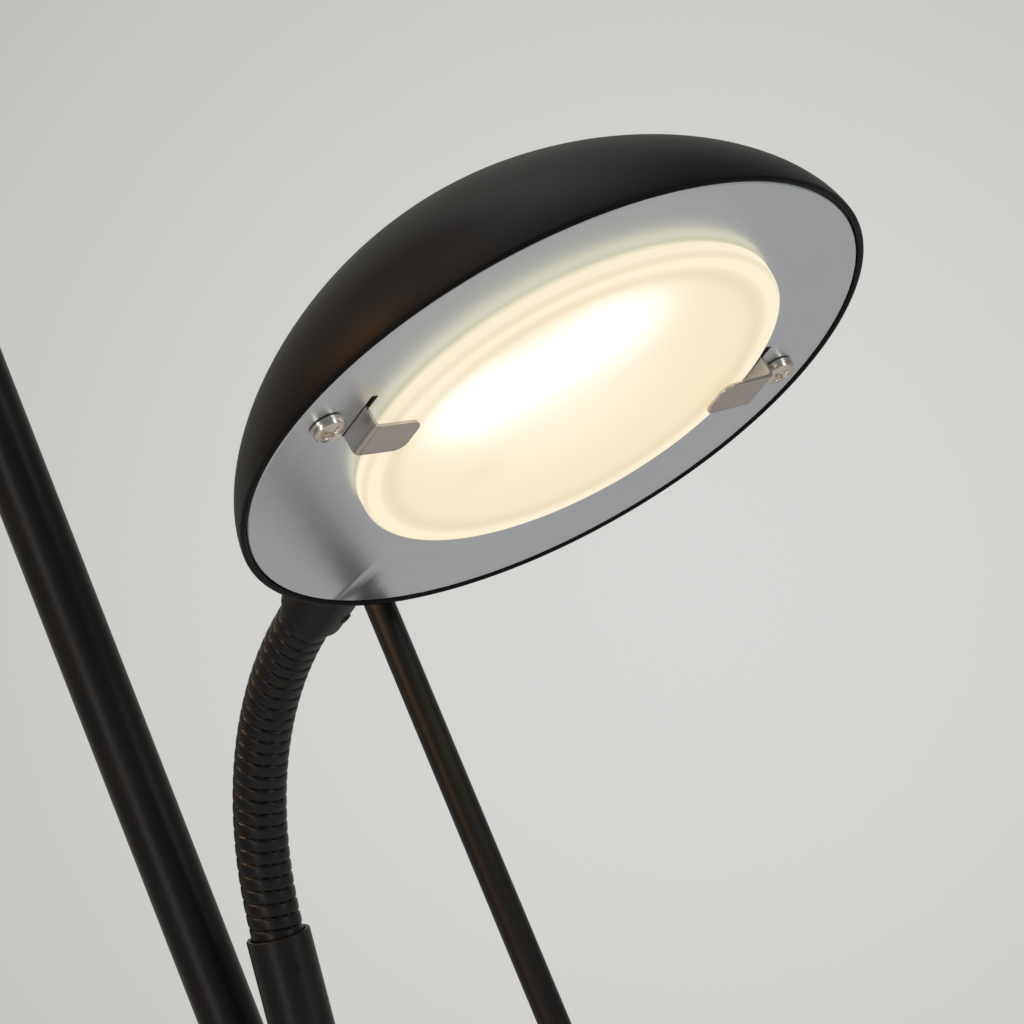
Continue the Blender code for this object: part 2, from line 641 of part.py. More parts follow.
def dome(radius, depth, steps=6):
    """Rounded dome outline from its rim at height 0 to its apex: a superellipse."""
    turns = [math.pi / 2 * i / steps for i in range(steps + 1)]
    return [(radius * math.cos(turn) ** DOME_FLANK, depth * math.sin(turn) ** DOME_FLANK) for turn in turns]


def dome_radius(lamp, height):
    """Radius of the shell's inner wall at a height behind the plate's face."""
    turn = math.asin((height / (lamp.dome_depth - lamp.wall)) ** (1 / DOME_FLANK))
    return (lamp.rim_radius - lamp.wall) * math.cos(turn) ** DOME_FLANK


def shell_shape(lamp):
    """Hollow dome with a rolled rim, a ledge for the plate and a hole in its apex."""
    outer = [p for p in dome(lamp.rim_radius, lamp.dome_depth) if p[0] > lamp.apex_hole]
    inner = [p for p in dome(lamp.rim_radius - lamp.wall, lamp.dome_depth - lamp.wall) if p[0] > lamp.apex_hole]
    seat = lamp.plate + GAP
    ledge_radius = lamp.plate_radius - lamp.ledge
    ledge_back = seat + lamp.wall
    inner_wall = [(inner[0][0] - 0.0005, ledge_back)] + [p for p in inner if p[1] > ledge_back + 0.001]
    lip_radius = lamp.plate_radius + GAP
    front = -0.0004
    return turned([
        (lip_radius, front), (lamp.rim_radius - 0.0005, front), *outer,
        (lamp.apex_hole, lamp.dome_depth), (lamp.apex_hole, lamp.dome_depth - lamp.wall),
        *inner_wall[::-1], (ledge_radius, ledge_back), (ledge_radius, seat), (lip_radius, seat)],
        lamp.segments)


def plate_shape(lamp):
    """Round face plate with a chamfered rim. Its window is cut later."""
    edge = 0.0003
    radius = lamp.plate_radius
    return turned([(0, 0), (radius - edge, 0), (radius, edge), (radius, lamp.plate), (0, lamp.plate)],
                  lamp.segments)


def glass_shape(lamp):
    front = -GAP - lamp.glass_thickness
    edge = 0.0006
    radius = lamp.glass_radius
    shape = turned([(0, front), (radius - edge, front), (radius, front + edge), (radius, -GAP - edge),
                    (radius - edge, -GAP), (0, -GAP)], lamp.segments)
    return moved(shape, Matrix.Translation((lamp.glass_shift, 0, 0)))


def clip_shape(lamp):
    """Z-folded clip at +Y: foot behind the plate, riser through the slot, tongue over the glass."""
    foot = lamp.plate + GAP + CLIP_SHEET / 2
    tongue = -GAP - lamp.glass_thickness - GAP - CLIP_SHEET / 2
    tip = lamp.riser_radius - lamp.clip_reach
    heel = lamp.screw_radius + 0.0055
    shape = prism(strap_outline([(heel, foot), (lamp.riser_radius, foot), (lamp.riser_radius, tongue),
                                 (tip, tongue)], CLIP_SHEET), CLIP_WIDTH)
    corners = [e for e in shape.edges if all(abs(v.co.y - tip) < 1e-5 for v in e.verts)
               and abs(e.verts[0].co.x - e.verts[1].co.x) < 1e-6]
    bmesh.ops.bevel(shape, geom=corners, offset=0.0028, segments=4, affect="EDGES", profile=0.5)
    return shape


def yoke_shape(lamp):
    """Strap that carries the works: a foot behind each clip, and a bridge along the dome's inside."""
    sheet = 0.0015
    foot = lamp.foot_level + sheet / 2
    run = dome(lamp.rim_radius - lamp.wall - 0.0045, lamp.yoke_crown, 8)
    flat = 0.012
    half = [p for p in run if p[1] > foot + 0.006 and p[0] > flat]
    leg = [(half[0][0], foot)] + half + [(flat, lamp.yoke_crown - sheet)]
    side = [(lamp.screw_radius - 0.006, foot)] + leg
    path = side + [(-y, z) for y, z in side[::-1]]
    return prism(strap_outline(path, sheet), 0.013)


def reflector_shape(lamp):
    """Spun cup with a flange behind the plate's window."""
    sheet = 0.0008
    seat = lamp.plate + GAP
    flange = lamp.riser_radius - CLIP_SHEET / 2 - 0.0014
    mouth = lamp.window_radius + 0.001 - lamp.glass_shift / 2
    floor, depth = lamp.cup_floor_radius, lamp.cup_depth
    return turned([
        (flange, seat), (flange, seat + sheet), (mouth + sheet, seat + sheet), (floor + sheet, depth + sheet),
        (floor * 0.55, depth + sheet), (floor * 0.55, depth), (floor, depth), (mouth, seat)], lamp.segments)


def led_module_shape(lamp):
    low = lamp.cup_depth + 0.0008 + GAP
    return tube(0, lamp.cup_floor_radius - 0.001, low, low + 0.0016, 20)


def led_chips(lamp):
    """Three square emitters that stand on the module's face, inside the cup's floor."""
    low = lamp.cup_depth + 0.0008 + GAP
    half, orbit = 0.0032, lamp.cup_floor_radius * 0.28
    return gathered([moved(box((orbit - half, -half, low - 0.001), (orbit + half, half, low + 0.0004)),
                           about_z(FULL_CIRCLE * i / 3)) for i in range(3)])


def heat_sink_shape(lamp, top):
    """Turned block with ring fins between the LED module and the yoke's bridge."""
    low = lamp.cup_depth + 0.0008 + GAP + 0.0016 + GAP
    core, fins = lamp.sink_radius * 0.45, 3
    pitch = (top - low) / fins
    outline = [(0, low)]
    for i in range(fins):
        level = low + i * pitch
        outline += [(lamp.sink_radius, level), (lamp.sink_radius, level + 0.5 * pitch), (core, level + 0.5 * pitch)]
        outline += [(core, level + pitch)]
    return turned(outline + [(0, top)])


def clip_places(lamp, shift=0.0):
    """Frame of each clip, whose +Y is the clip's direction from the dome's axis."""
    return [Matrix.Translation((shift, 0, 0)) @ about_z(angle - math.pi / 2) for angle in lamp.clip_angles]


def build_plate(name, lamp, parent, places):
    plate = add(name, plate_shape(lamp), BRUSHED_ALUMINIUM, parent)
    window = tube(0, lamp.window_radius, -0.003, 0.005, lamp.segments)
    boolean(plate, "DIFFERENCE", window, name + "_window", Matrix.Translation((lamp.glass_shift, 0, 0)))
    cuts = []
    for place in places:
        towards_far_side = 1 if (place.to_3x3() @ Vector((1, 0, 0))).x >= 0 else -1
        middle, half = towards_far_side * 0.0017, CLIP_WIDTH / 2 + 0.0022
        low = (middle - half, lamp.riser_radius - 0.0013, -0.003)
        high = (middle + half, lamp.riser_radius + 0.0013, 0.005)
        cuts += [moved(box(low, high), place),
                 moved(tube(0, SCREW_RADIUS + GAP, -0.003, 0.005, 16),
                       place @ Matrix.Translation((0, lamp.screw_radius, 0)))]
    boolean(plate, "DIFFERENCE", gathered(cuts), name + "_slots")


def screw_hole(lamp, place):
    return moved(tube(0, SCREW_RADIUS + GAP, -0.003, 0.009, 16),
                 place @ Matrix.Translation((0, lamp.screw_radius, 0)))


SCREW_LENGTH = 0.0065         # from the seat of the head to the tip, through plate, clip and yoke


def build_clips(prefix, lamp, parent, places, carrier):
    """Glass clips, each held by a cross-recessed screw that bites into the carrier behind it."""
    for side, place in zip(("left", "right"), places):
        clip = add(f"{prefix}_clip_{side}", clip_shape(lamp), NICKEL, parent, place)
        boolean(clip, "DIFFERENCE", screw_hole(lamp, place), f"{prefix}_{side}_clip_hole")
        boolean(carrier, "DIFFERENCE", screw_hole(lamp, place), f"{prefix}_{side}_thread")
        spot = place @ Matrix.Translation((0, lamp.screw_radius, -GAP)) @ about_z(math.radians(20))
        screw = add(f"{prefix}_screw_{side}", pan_screw(SCREW_LENGTH), NICKEL, parent, spot)
        boolean(screw, "DIFFERENCE", cross_cutter(), f"{prefix}_{side}_recess", spot)


def build_reading_head(frame):
    lamp = READING
    line_shift = 0.0015       # the two clips' line, off the dome's axis
    places = clip_places(lamp, line_shift)
    swivel = marker("head_swivel", NECK_TOP)
    head = marker("head_frame", NECK_TOP.inverted() @ frame, swivel)

    shell = add("head_shell", shell_shape(lamp), BLACK_PAINT, head)
    bolt_hole = tube(0, HUB_BOLT_RADIUS + GAP, -HUB_MOUTH, -lamp.plate_radius / 2, 20)
    boolean(shell, "DIFFERENCE", bolt_hole, "hub_bolt_hole", HUB_IN_HEAD)
    build_plate("head_plate", lamp, head, places)
    add("head_glass", glass_shape(lamp), FROSTED_GLASS, head)

    yoke = add("head_yoke", yoke_shape(lamp), ZINC_STEEL, head, places[1])
    build_clips("head", lamp, head, places, yoke)

    add("head_reflector", reflector_shape(lamp), REFLECTOR_ALUMINIUM, head)
    module = add("head_led_module", led_module_shape(lamp), LED_WHITE, head)
    boolean(module, "UNION", led_chips(lamp), "head_chips")
    bridge = lamp.yoke_crown - 0.0015 * 1.5
    sink = add("head_heat_sink", heat_sink_shape(lamp, bridge - GAP), SINK_ALUMINIUM, head)

    apex = tube(0, lamp.apex_hole, bridge - 0.010, lamp.dome_depth, 16)
    boolean(sink, "DIFFERENCE", apex, "sink_thread")
    boolean(yoke, "DIFFERENCE", tube(0, lamp.apex_hole, bridge - 0.010, lamp.dome_depth, 16), "yoke_apex_hole")
    top = lamp.dome_depth + GAP
    add("head_apex_screw", turned([
        (0, bridge - 0.0095), (SCREW_RADIUS, bridge - 0.0095), (SCREW_RADIUS, top), (SCREW_HEAD_RADIUS, top),
        (SCREW_HEAD_RADIUS * 0.9, top + 0.0012), (SCREW_HEAD_RADIUS * 0.5, top + 0.0019), (0, top + 0.0021)], 14),
        BLACK_PAINT, head)


def build_hub():
    """Hub between the ferrule and the dome, its hollow bolt and the steering rod."""
    head = bpy.data.objects["head_frame"]
    hub_low, bolt_end = -HUB_MOUTH, -HUB_MOUTH + 0.004
    rim, inner_end = 0.0005, -READING.plate_radius * 0.6
    bore = HUB_BOLT_RADIUS + GAP
    hub = add("head_hub", turned([
        (HUB_BOLT_BORE, hub_low), (SLEEVE_RADIUS - rim, hub_low), (SLEEVE_RADIUS, hub_low + rim),
        (SLEEVE_RADIUS, inner_end), (bore, inner_end), (bore, bolt_end), (HUB_BOLT_BORE, bolt_end)]),
        BLACK_PAINT, head, HUB_IN_HEAD)
    clear = GAP * 1.5
    outline = dome(READING.rim_radius + clear, READING.dome_depth + clear)
    boolean(hub, "DIFFERENCE", turned([(0, -0.01), (outline[0][0], -0.01), *outline], READING.segments),
            "dome_seat")

    facet = 0.0014            # the dome's flat facets stand this far inside its true curve
    seat = facet - dome_radius(READING, HUB_AXIS_DEPTH + HUB_BOLT_HEAD_RADIUS)
    head_end = seat + 0.004
    add("hub_bolt", turned([
        (HUB_BOLT_BORE, bolt_end + GAP), (HUB_BOLT_RADIUS, bolt_end + GAP), (HUB_BOLT_RADIUS, seat),
        (HUB_BOLT_HEAD_RADIUS, seat), (HUB_BOLT_HEAD_RADIUS, head_end), (HUB_BOLT_BORE, head_end)], 12),
        ZINC_STEEL, head, HUB_IN_HEAD)

    across = Matrix.Translation((-ROD_STATION, 0, HUB_AXIS_DEPTH)) @ Matrix.Rotation(ROD_TURN, 4, "X") \
        @ Matrix.Rotation(math.pi, 4, "X")
    root, tip = HUB_BOLT_RADIUS + 2 * GAP + 0.0010, ROD_LENGTH
    boolean(hub, "DIFFERENCE", tube(0, ROD_RADIUS + GAP, root - GAP, 0.02, 20), "rod_socket", across)
    arc = [(ROD_RADIUS * math.cos(math.pi / 8 * i), tip - ROD_RADIUS + ROD_RADIUS * math.sin(math.pi / 8 * i))
           for i in range(4)]
    add("handle_rod", turned([(0, root), (ROD_RADIUS, root), *arc, (0, tip)], 20), BLACK_PAINT, head, across)


def build_ferrule():
    """Ferrule on the neck's top, in the neck's frame: +Z points towards the head."""
    top = marker("ferrule_axis", NECK_TOP)
    bore, rim = NECK_RADIUS + GAP, 0.0005
    floor = NECK_GRIP + GAP
    ferrule = add("ferrule", turned([
        (bore, 0), (SLEEVE_RADIUS - rim, 0), (SLEEVE_RADIUS, rim), (SLEEVE_RADIUS, FERRULE_LENGTH - rim),
        (SLEEVE_RADIUS - rim, FERRULE_LENGTH), (HUB_BOLT_BORE, FERRULE_LENGTH), (HUB_BOLT_BORE, floor),
        (bore, floor)]), BLACK_PAINT, top)
    place = radial(FERRULE_SCREW_HEIGHT, FERRULE_SCREW_ANGLE, SLEEVE_RADIUS)
    boolean(ferrule, "DIFFERENCE", set_screw("ferrule_screw", top, place), "ferrule_screw_hole", place)


# ---------------------------------------------------------------- uplighter bowl


def build_bowl():
    lamp = BOWL
    places = clip_places(lamp)
    frame = Matrix.Translation((0, 0, BOWL_RIM_HEIGHT)) @ Matrix.Rotation(math.pi, 4, "X")
    bowl = marker("bowl_frame", frame)
    add("bowl_shell", shell_shape(lamp), BLACK_PAINT, bowl)
    build_plate("bowl_plate", lamp, bowl, places)
    add("bowl_glass", glass_shape(lamp), FROSTED_GLASS, bowl)
    # A ring welded inside the shell's ledge; the clip screws bite into it.
    inner, outer = lamp.screw_radius - 0.006, lamp.plate_radius - lamp.ledge - GAP
    carrier = add("bowl_carrier", turned([
        (inner, lamp.foot_level), (outer, lamp.foot_level),
        (outer, lamp.foot_level + 0.002), (inner, lamp.foot_level + 0.002)], lamp.segments), ZINC_STEEL, bowl)
    build_clips("bowl", lamp, bowl, places, carrier)
    add("bowl_reflector", reflector_shape(lamp), REFLECTOR_ALUMINIUM, bowl)
    module = add("bowl_led_module", led_module_shape(lamp), LED_WHITE, bowl)
    boolean(module, "UNION", led_chips(lamp), "bowl_chips")

    bolt_seat = lamp.dome_depth - lamp.wall - 0.0011   # clear of the shell's curve at the head's corners
    bolt_low = bolt_seat - 0.007
    add("bowl_bolt", hollow_bolt(0.019, bolt_low, bolt_seat, lamp.dome_depth + COLLAR_HEIGHT + STUD_GRIP),
        ZINC_STEEL, bowl)
    add("bowl_heat_sink", heat_sink_shape(lamp, bolt_low - GAP), SINK_ALUMINIUM, bowl)
    collar_bore = STUD_RADIUS + GAP
    clear = lamp.dome_depth + 2 * GAP
    add("bowl_collar", turned([
        (collar_bore, clear), (0.015, clear + 0.0006), (0.015, clear + 0.003), (POLE_RADIUS + 0.0015, clear + 0.0085),
        (POLE_RADIUS, lamp.dome_depth + COLLAR_HEIGHT - GAP), (collar_bore, lamp.dome_depth + COLLAR_HEIGHT - GAP)],
        20), BLACK_PAINT, bowl)
    # The driver lies between the cup and the shell's wall.
    length, half, height = 0.028, 0.029, 0.014
    high = lamp.cup_depth + 0.008
    far = dome_radius(lamp, high) - 0.0106
    driver = box((far - length, -half, high - height), (far, half, high))
    bmesh.ops.bevel(driver, geom=list(driver.edges), offset=0.0015, segments=1, affect="EDGES")
    add("led_driver", driver, BLACK_PLASTIC, bowl)


build_base()
build_pole()
build_block()
build_arm()
build_neck()
build_ferrule()
build_reading_head(head_frame())
build_hub()
build_bowl()
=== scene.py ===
"""Torchiere floor lamp, dressed over its frame in the order in which it is put together.

Most pieces are turned: an outline of (radius, height) pairs is carried once round an axis, so a point is
(radius times the cosine of the angle, radius times its sine, height). The hose is a tube carried along the
neck's arc, with a helical groove taken out of its radius. Metres, +Z up.
"""
import json
import math

import bmesh
import bpy
import numpy as np
from mathutils import Matrix, Vector


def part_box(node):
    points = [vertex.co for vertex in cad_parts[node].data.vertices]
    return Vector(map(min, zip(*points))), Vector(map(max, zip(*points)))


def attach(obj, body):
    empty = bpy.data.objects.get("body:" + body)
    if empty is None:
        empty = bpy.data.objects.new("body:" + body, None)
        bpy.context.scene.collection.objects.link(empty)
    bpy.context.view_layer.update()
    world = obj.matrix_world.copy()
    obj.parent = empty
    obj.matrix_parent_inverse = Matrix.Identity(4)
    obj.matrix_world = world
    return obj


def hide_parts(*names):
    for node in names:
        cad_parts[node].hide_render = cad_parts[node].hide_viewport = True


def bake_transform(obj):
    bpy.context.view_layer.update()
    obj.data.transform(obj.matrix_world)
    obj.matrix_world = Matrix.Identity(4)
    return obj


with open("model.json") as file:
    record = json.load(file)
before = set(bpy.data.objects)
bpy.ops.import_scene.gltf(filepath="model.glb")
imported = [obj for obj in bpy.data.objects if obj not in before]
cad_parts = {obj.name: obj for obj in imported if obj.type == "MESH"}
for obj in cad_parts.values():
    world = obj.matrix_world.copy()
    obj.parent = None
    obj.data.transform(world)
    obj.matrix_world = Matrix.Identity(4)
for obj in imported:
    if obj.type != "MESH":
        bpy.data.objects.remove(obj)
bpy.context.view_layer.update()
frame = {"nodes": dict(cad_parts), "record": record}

# ------------------------------------------------------------------ camera
# A long lens held level, a little under the reading head, and rolled so that the pole leans to the left.
# It looks past the head towards the pole.
CAMERA_AZIMUTH = math.radians(48.33)
CAMERA_ROLL = math.radians(21.27)
CAMERA_DISTANCE = 1.36
CAMERA_LENS = 203.2
SENSOR = 36.0
HEAD_RIGHT_OF_MIDDLE = 0.00999
HEAD_ABOVE_MIDDLE = 0.02723

plate_low, plate_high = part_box("head_plate")
backwards = Vector((math.sin(CAMERA_AZIMUTH), -math.cos(CAMERA_AZIMUTH), 0))
level = Vector((math.cos(CAMERA_AZIMUTH), math.sin(CAMERA_AZIMUTH), 0))
upright = Vector((0, 0, 1))
camera_right = math.cos(CAMERA_ROLL) * level - math.sin(CAMERA_ROLL) * upright
camera_up = math.sin(CAMERA_ROLL) * level + math.cos(CAMERA_ROLL) * upright
camera_data = bpy.data.cameras.new("camera")
camera_data.lens = CAMERA_LENS
camera_data.sensor_width = SENSOR
camera_data.clip_start = 0.05
camera = bpy.data.objects.new("camera", camera_data)
bpy.context.scene.collection.objects.link(camera)
camera.matrix_world = Matrix.Translation(
    (plate_low + plate_high) / 2 - HEAD_RIGHT_OF_MIDDLE * camera_right
    - HEAD_ABOVE_MIDDLE * camera_up + CAMERA_DISTANCE * backwards
) @ Matrix((camera_right, camera_up, backwards)).transposed().to_4x4()
bpy.context.scene.camera = camera


# ------------------------------------------------------------------ base
# A spun steel cover over a cast weight and a foot plate, with felt underneath.
# A hollow bolt ties them to the pole, and a collar hides the joint.
def carried(grid, place):
    """Points turned and moved by a frame: the frame's rotation times the point, plus its place."""
    return grid @ np.array(place.to_3x3()).T + np.array(place.translation)


def skin(name, grid, loop=False):
    """Mesh over rows of points that each run once round. A row drawn into one point is a pole, any other
    end row is closed with a flat face, and with loop the last row joins the first."""
    rows, columns = grid.shape[:2]
    label = np.arange(rows * columns).reshape(rows, columns)
    flat_ends = []
    for row in ((0, rows - 1) if not loop else ()):
        if np.ptp(grid[row], axis=0).max() < 1e-9:
            label[row] = label[row, 0]
        else:
            flat_ends.append(label[row])
    low = label if loop else label[:-1]
    high = np.roll(label, -1, axis=0) if loop else label[1:]
    quads = np.stack([low, np.roll(low, -1, 1), np.roll(high, -1, 1), high], axis=-1).reshape(-1, 4)
    low_pole, high_pole = quads[:, 0] == quads[:, 1], quads[:, 2] == quads[:, 3]
    used = np.unique(label)
    groups = [quads[~low_pole & ~high_pole], quads[low_pole][:, [0, 2, 3]], quads[high_pole][:, :3]]
    groups += [end[None, :] for end in flat_ends]
    faces = [face for group in groups for face in np.searchsorted(used, group).tolist()]
    mesh = bpy.data.meshes.new(name)
    mesh.from_pydata(grid.reshape(-1, 3)[used].tolist(), [], faces)
    shape = bmesh.new()
    shape.from_mesh(mesh)
    bmesh.ops.recalc_face_normals(shape, faces=shape.faces)
    shape.to_mesh(mesh)
    shape.free()
    mesh.shade_smooth()
    mesh.set_sharp_from_angle(angle=math.radians(50))
    piece = bpy.data.objects.new(name, mesh)
    bpy.context.scene.collection.objects.link(piece)
    return piece


def eased(outline, radius, loop=False, steps=4):
    """Outline with rounded corners: each is a quadratic curve between points short of it and past it,
    and a further point on either side keeps the flats flat."""
    corner = np.asarray(outline, float)
    before, after = np.roll(corner, 1, 0), np.roll(corner, -1, 0)
    if not loop:
        before[0], after[-1] = corner[0], corner[-1]
    ends = []
    for other in (before, after):
        run = np.linalg.norm(other - corner, axis=1, keepdims=True)
        ends.append((other - corner) * np.minimum(radius / np.maximum(run, 1e-12), 0.3))
    t = np.linspace(0, 1, steps + 1)[None, :, None]
    start, end = (corner + ends[0])[:, None], (corner + ends[1])[:, None]
    arcs = (1 - t) ** 2 * start + 2 * t * (1 - t) * corner[:, None] + t ** 2 * end
    hold = 1.4
    arcs = np.concatenate([(corner + hold * ends[0])[:, None], arcs, (corner + hold * ends[1])[:, None]], 1)
    points = arcs.reshape(-1, 2)
    far = np.linalg.norm(np.diff(points, axis=0), axis=1) > 1e-8
    return points[np.concatenate([[True], far])]


def turned(name, outline, place=Matrix(), columns=96, loop=False):
    """A (radius, height) outline turned about Z, then placed."""
    radius, height = np.asarray(outline, float).T
    angle = np.linspace(0, 2 * math.pi, columns, endpoint=False)
    grid = np.stack([np.outer(radius, np.cos(angle)), np.outer(radius, np.sin(angle)),
                     np.repeat(height[:, None], columns, 1)], axis=-1)
    return skin(name, carried(grid, place), loop)


class Tone:
    """A number that varies over a surface. Sums on tones add the Math nodes that work them out."""

    def __init__(self, tree, socket):
        self.tree, self.socket = tree, socket

    def _sum(self, operation, first, second):
        made = self.tree.nodes.new("ShaderNodeMath")
        made.operation = operation
        for slot, value in zip(made.inputs, (first, second)):
            plug(self.tree, slot, value)
        return Tone(self.tree, made.outputs[0])

    def __add__(self, other):
        return self._sum("ADD", self, other)

    def __sub__(self, other):
        return self._sum("SUBTRACT", self, other)

    def __mul__(self, other):
        return self._sum("MULTIPLY", self, other)

    def __truediv__(self, other):
        return self._sum("DIVIDE", self, other)

    def __pow__(self, other):
        return self._sum("POWER", self, other)

    def __rsub__(self, other):
        return self._sum("SUBTRACT", other, self)

    def __rpow__(self, other):
        return self._sum("POWER", other, self)

    __radd__ = __add__
    __rmul__ = __mul__


def plug(tree, socket, value):
    """Links a tone to a socket, or sets a plain value on it."""
    if isinstance(value, Tone):
        tree.links.new(value.socket, socket)
    else:
        socket.default_value = value


class Graph:
    """The nodes behind one shader, of a surface or of the surroundings."""

    def __init__(self, owner, shader):
        owner.use_nodes = True
        self.tree = owner.node_tree
        self.shader = self.tree.nodes[shader]

    def drive(self, socket, value):
        plug(self.tree, self.shader.inputs[socket], value)

    def node(self, kind, settings=None, sockets=None, output=0):
        """Any other node: its settings first, then the values or tones of its sockets."""
        made = self.tree.nodes.new("ShaderNode" + kind)
        for setting, value in (settings or {}).items():
            setattr(made, setting, value)
        for socket, value in (sockets or {}).items():
            plug(self.tree, made.inputs[socket], value)
        return Tone(self.tree, made.outputs[output])

    def rise(self, value, low, high):
        """0 below low, 1 above high, and a smooth step between."""
        return self.node("MapRange", {"interpolation_type": "SMOOTHSTEP"},
                         {"Value": value, "From Min": low, "From Max": high})

    def mix(self, factor, first, second):
        return self.node("Mix", {"data_type": "RGBA"}, {0: factor, 6: first, 7: second}, 2)


class Finish(Graph):
    """One surface finish: a Principled shader and the nodes that vary it."""

    def __init__(self, name, slot, colour, roughness, metallic=0.0, **fixed):
        self.slot = slot
        self.material = bpy.data.materials.new(name)
        super().__init__(self.material, "Principled BSDF")
        self.drive("Base Color", (*colour, 1.0))
        self.drive("Roughness", roughness)
        self.drive("Metallic", metallic)
        for socket, value in fixed.items():
            self.drive(socket.replace("_", " "), value)

    def here(self, place=None):
        """Object coordinates, or those in a piece's own frame."""
        point = self.node("TexCoord", output=3)
        if place is None:
            return point
        inverse = place.inverted()
        return self.node("Mapping", {"vector_type": "POINT"}, {
            "Vector": point, "Location": tuple(inverse.translation),
            "Rotation": tuple(inverse.to_euler("XYZ"))})

    def noise(self, point, scale, detail=3.0):
        return self.node("TexNoise", None, {"Vector": point, "Scale": scale, "Detail": detail})

    def apart(self, point):
        return [self.node("SeparateXYZ", None, {"Vector": point}, axis) for axis in range(3)]

    def emboss(self, height, distance, strength):
        self.drive("Normal", self.node("Bump", None, {"Height": height, "Distance": distance,
                                                      "Strength": strength}))


def black_paint(name, roughness, shine=0.30):
    """Satin black powder coat: a fine orange peel, with slightly duller and browner patches."""
    coat = Finish(name, "black_paint", (0.008, 0.007, 0.006), roughness, Specular_IOR_Level=shine)
    point = coat.here()
    patches = coat.noise(point, 55.0)
    coat.drive("Base Color", coat.mix(patches, (0.0055, 0.0052, 0.0048, 1), (0.0105, 0.0085, 0.0065, 1)))
    coat.drive("Roughness", roughness - 0.05 + 0.10 * patches)
    coat.emboss(coat.noise(point, 1700.0), 0.00004, 0.35)
    return coat


def fitted(piece, body, finish, *nodes):
    """Gives a piece its finish and its body, and hides the CAD nodes that it stands for."""
    piece.data.materials.clear()
    piece.data.materials.append(finish.material)
    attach(piece, body)
    if nodes:
        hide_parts(*nodes)
    return piece


GAP = 0.0003
BASE_RADIUS = 0.140
BASE_EDGE = 0.014
BASE_CROWN = 0.014
BASE_TOP = BASE_EDGE + BASE_CROWN
COVER_LOW = 0.0023
SHEET = 0.0012
BORE = 0.0068
FLAT_TOP_RADIUS = 0.022

satin_black = black_paint("satin_black", 0.40)


def base_curve(radius, top):
    """The cover's crown: the radius falls by half a cosine while the height climbs a quarter sine."""
    t = np.linspace(0, 1, 25)
    return np.stack([FLAT_TOP_RADIUS + (radius - FLAT_TOP_RADIUS) * (0.5 + 0.5 * np.cos(math.pi * t)),
                     top - BASE_CROWN + BASE_CROWN * np.sin(math.pi / 2 * t)], axis=1)


outside, inside = base_curve(BASE_RADIUS, BASE_TOP), base_curve(BASE_RADIUS - SHEET, BASE_TOP - SHEET)
edge = 0.0009
cover_outline = np.concatenate([
    [(BASE_RADIUS - edge, COVER_LOW), (BASE_RADIUS, COVER_LOW + edge)], outside,
    [(BORE, BASE_TOP), (BORE, BASE_TOP - SHEET)], inside[::-1], [(BASE_RADIUS - SHEET, COVER_LOW)]])
fitted(turned("base_cover_dressed", cover_outline, columns=160, loop=True), "stand", satin_black,
       "base_cover")

felt = Finish("black_felt", "black_felt", (0.03, 0.03, 0.032), 0.95, Specular_IOR_Level=0.15)
fibres = felt.noise(felt.here(), 2400.0, 5.0)
felt.drive("Base Color", felt.mix(fibres, (0.018, 0.018, 0.019, 1), (0.050, 0.050, 0.054, 1)))
felt.emboss(fibres, 0.0002, 0.8)
felt_radius = BASE_RADIUS - 0.008
felt_outline = [(0, 0), (felt_radius, 0), (felt_radius, 0.002), (0, 0.002)]
fitted(turned("base_felt_dressed", eased(felt_outline, 0.0005), columns=120), "stand", felt, "base_felt")

rubber = Finish("black_moulding", "black_plastic", (0.022, 0.022, 0.023), 0.52, Specular_IOR_Level=0.4)
grain = rubber.noise(rubber.here(), 3200.0)
rubber.drive("Roughness", 0.46 + 0.12 * grain)
rubber.emboss(grain, 0.00004, 0.4)
gland_low, gland_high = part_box("cord_gland")
gland_place = Matrix.Translation((-BASE_RADIUS, 0, (gland_low.z + gland_high.z) / 2)) \
    @ Matrix.Rotation(-math.pi / 2, 4, "Y")
fitted(turned("cord_gland_dressed", eased([
    (0.0026, -0.0045), (0.0034, -0.0045), (0.0034, 0.0006), (0.0046, 0.0006), (0.0046, 0.0020),
    (0.0028, 0.0050), (0.0026, 0.0050)], 0.0003, loop=True), gland_place, 48, loop=True),
    "stand", rubber, "cord_gland")

collar_bore = 0.0083
fitted(turned("pole_collar_dressed", eased([
    (collar_bore, BASE_TOP + GAP), (0.0165, BASE_TOP + GAP), (0.0165, BASE_TOP + 0.003),
    (0.0125, BASE_TOP + 0.010), (collar_bore, BASE_TOP + 0.012)], 0.0009, loop=True), loop=True),
    "stand", satin_black, "pole_collar")

# ------------------------------------------------------------------ pole
# Three runs of 16 mm steel tube, powder coated. Two meet end to end over a hollow stud below the branch
# block, and the third rises from the block to the bowl.
POLE_RADIUS = 0.008
for run in ("pole_lower", "pole_middle", "pole_upper"):
    low, high = (corner.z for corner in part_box(run))
    tube = eased([(BORE, low), (POLE_RADIUS, low), (POLE_RADIUS, high), (BORE, high)], 0.0005, loop=True)
    fitted(turned(run + "_dressed", tube, loop=True), "stand", satin_black, run)

# ------------------------------------------------------------------ branch block
# A cast housing that grips the pole and the reading arm and holds both dimmers.
# A screwed lid closes its side, and its upright edges are well rounded.
JOINTS = {joint["name"]: joint for joint in frame["record"]["behaviour"]["joints"]}
block_low, block_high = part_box("branch_body")
block_middle = (block_low + block_high) / 2
block_half = (block_high - block_low) / 2


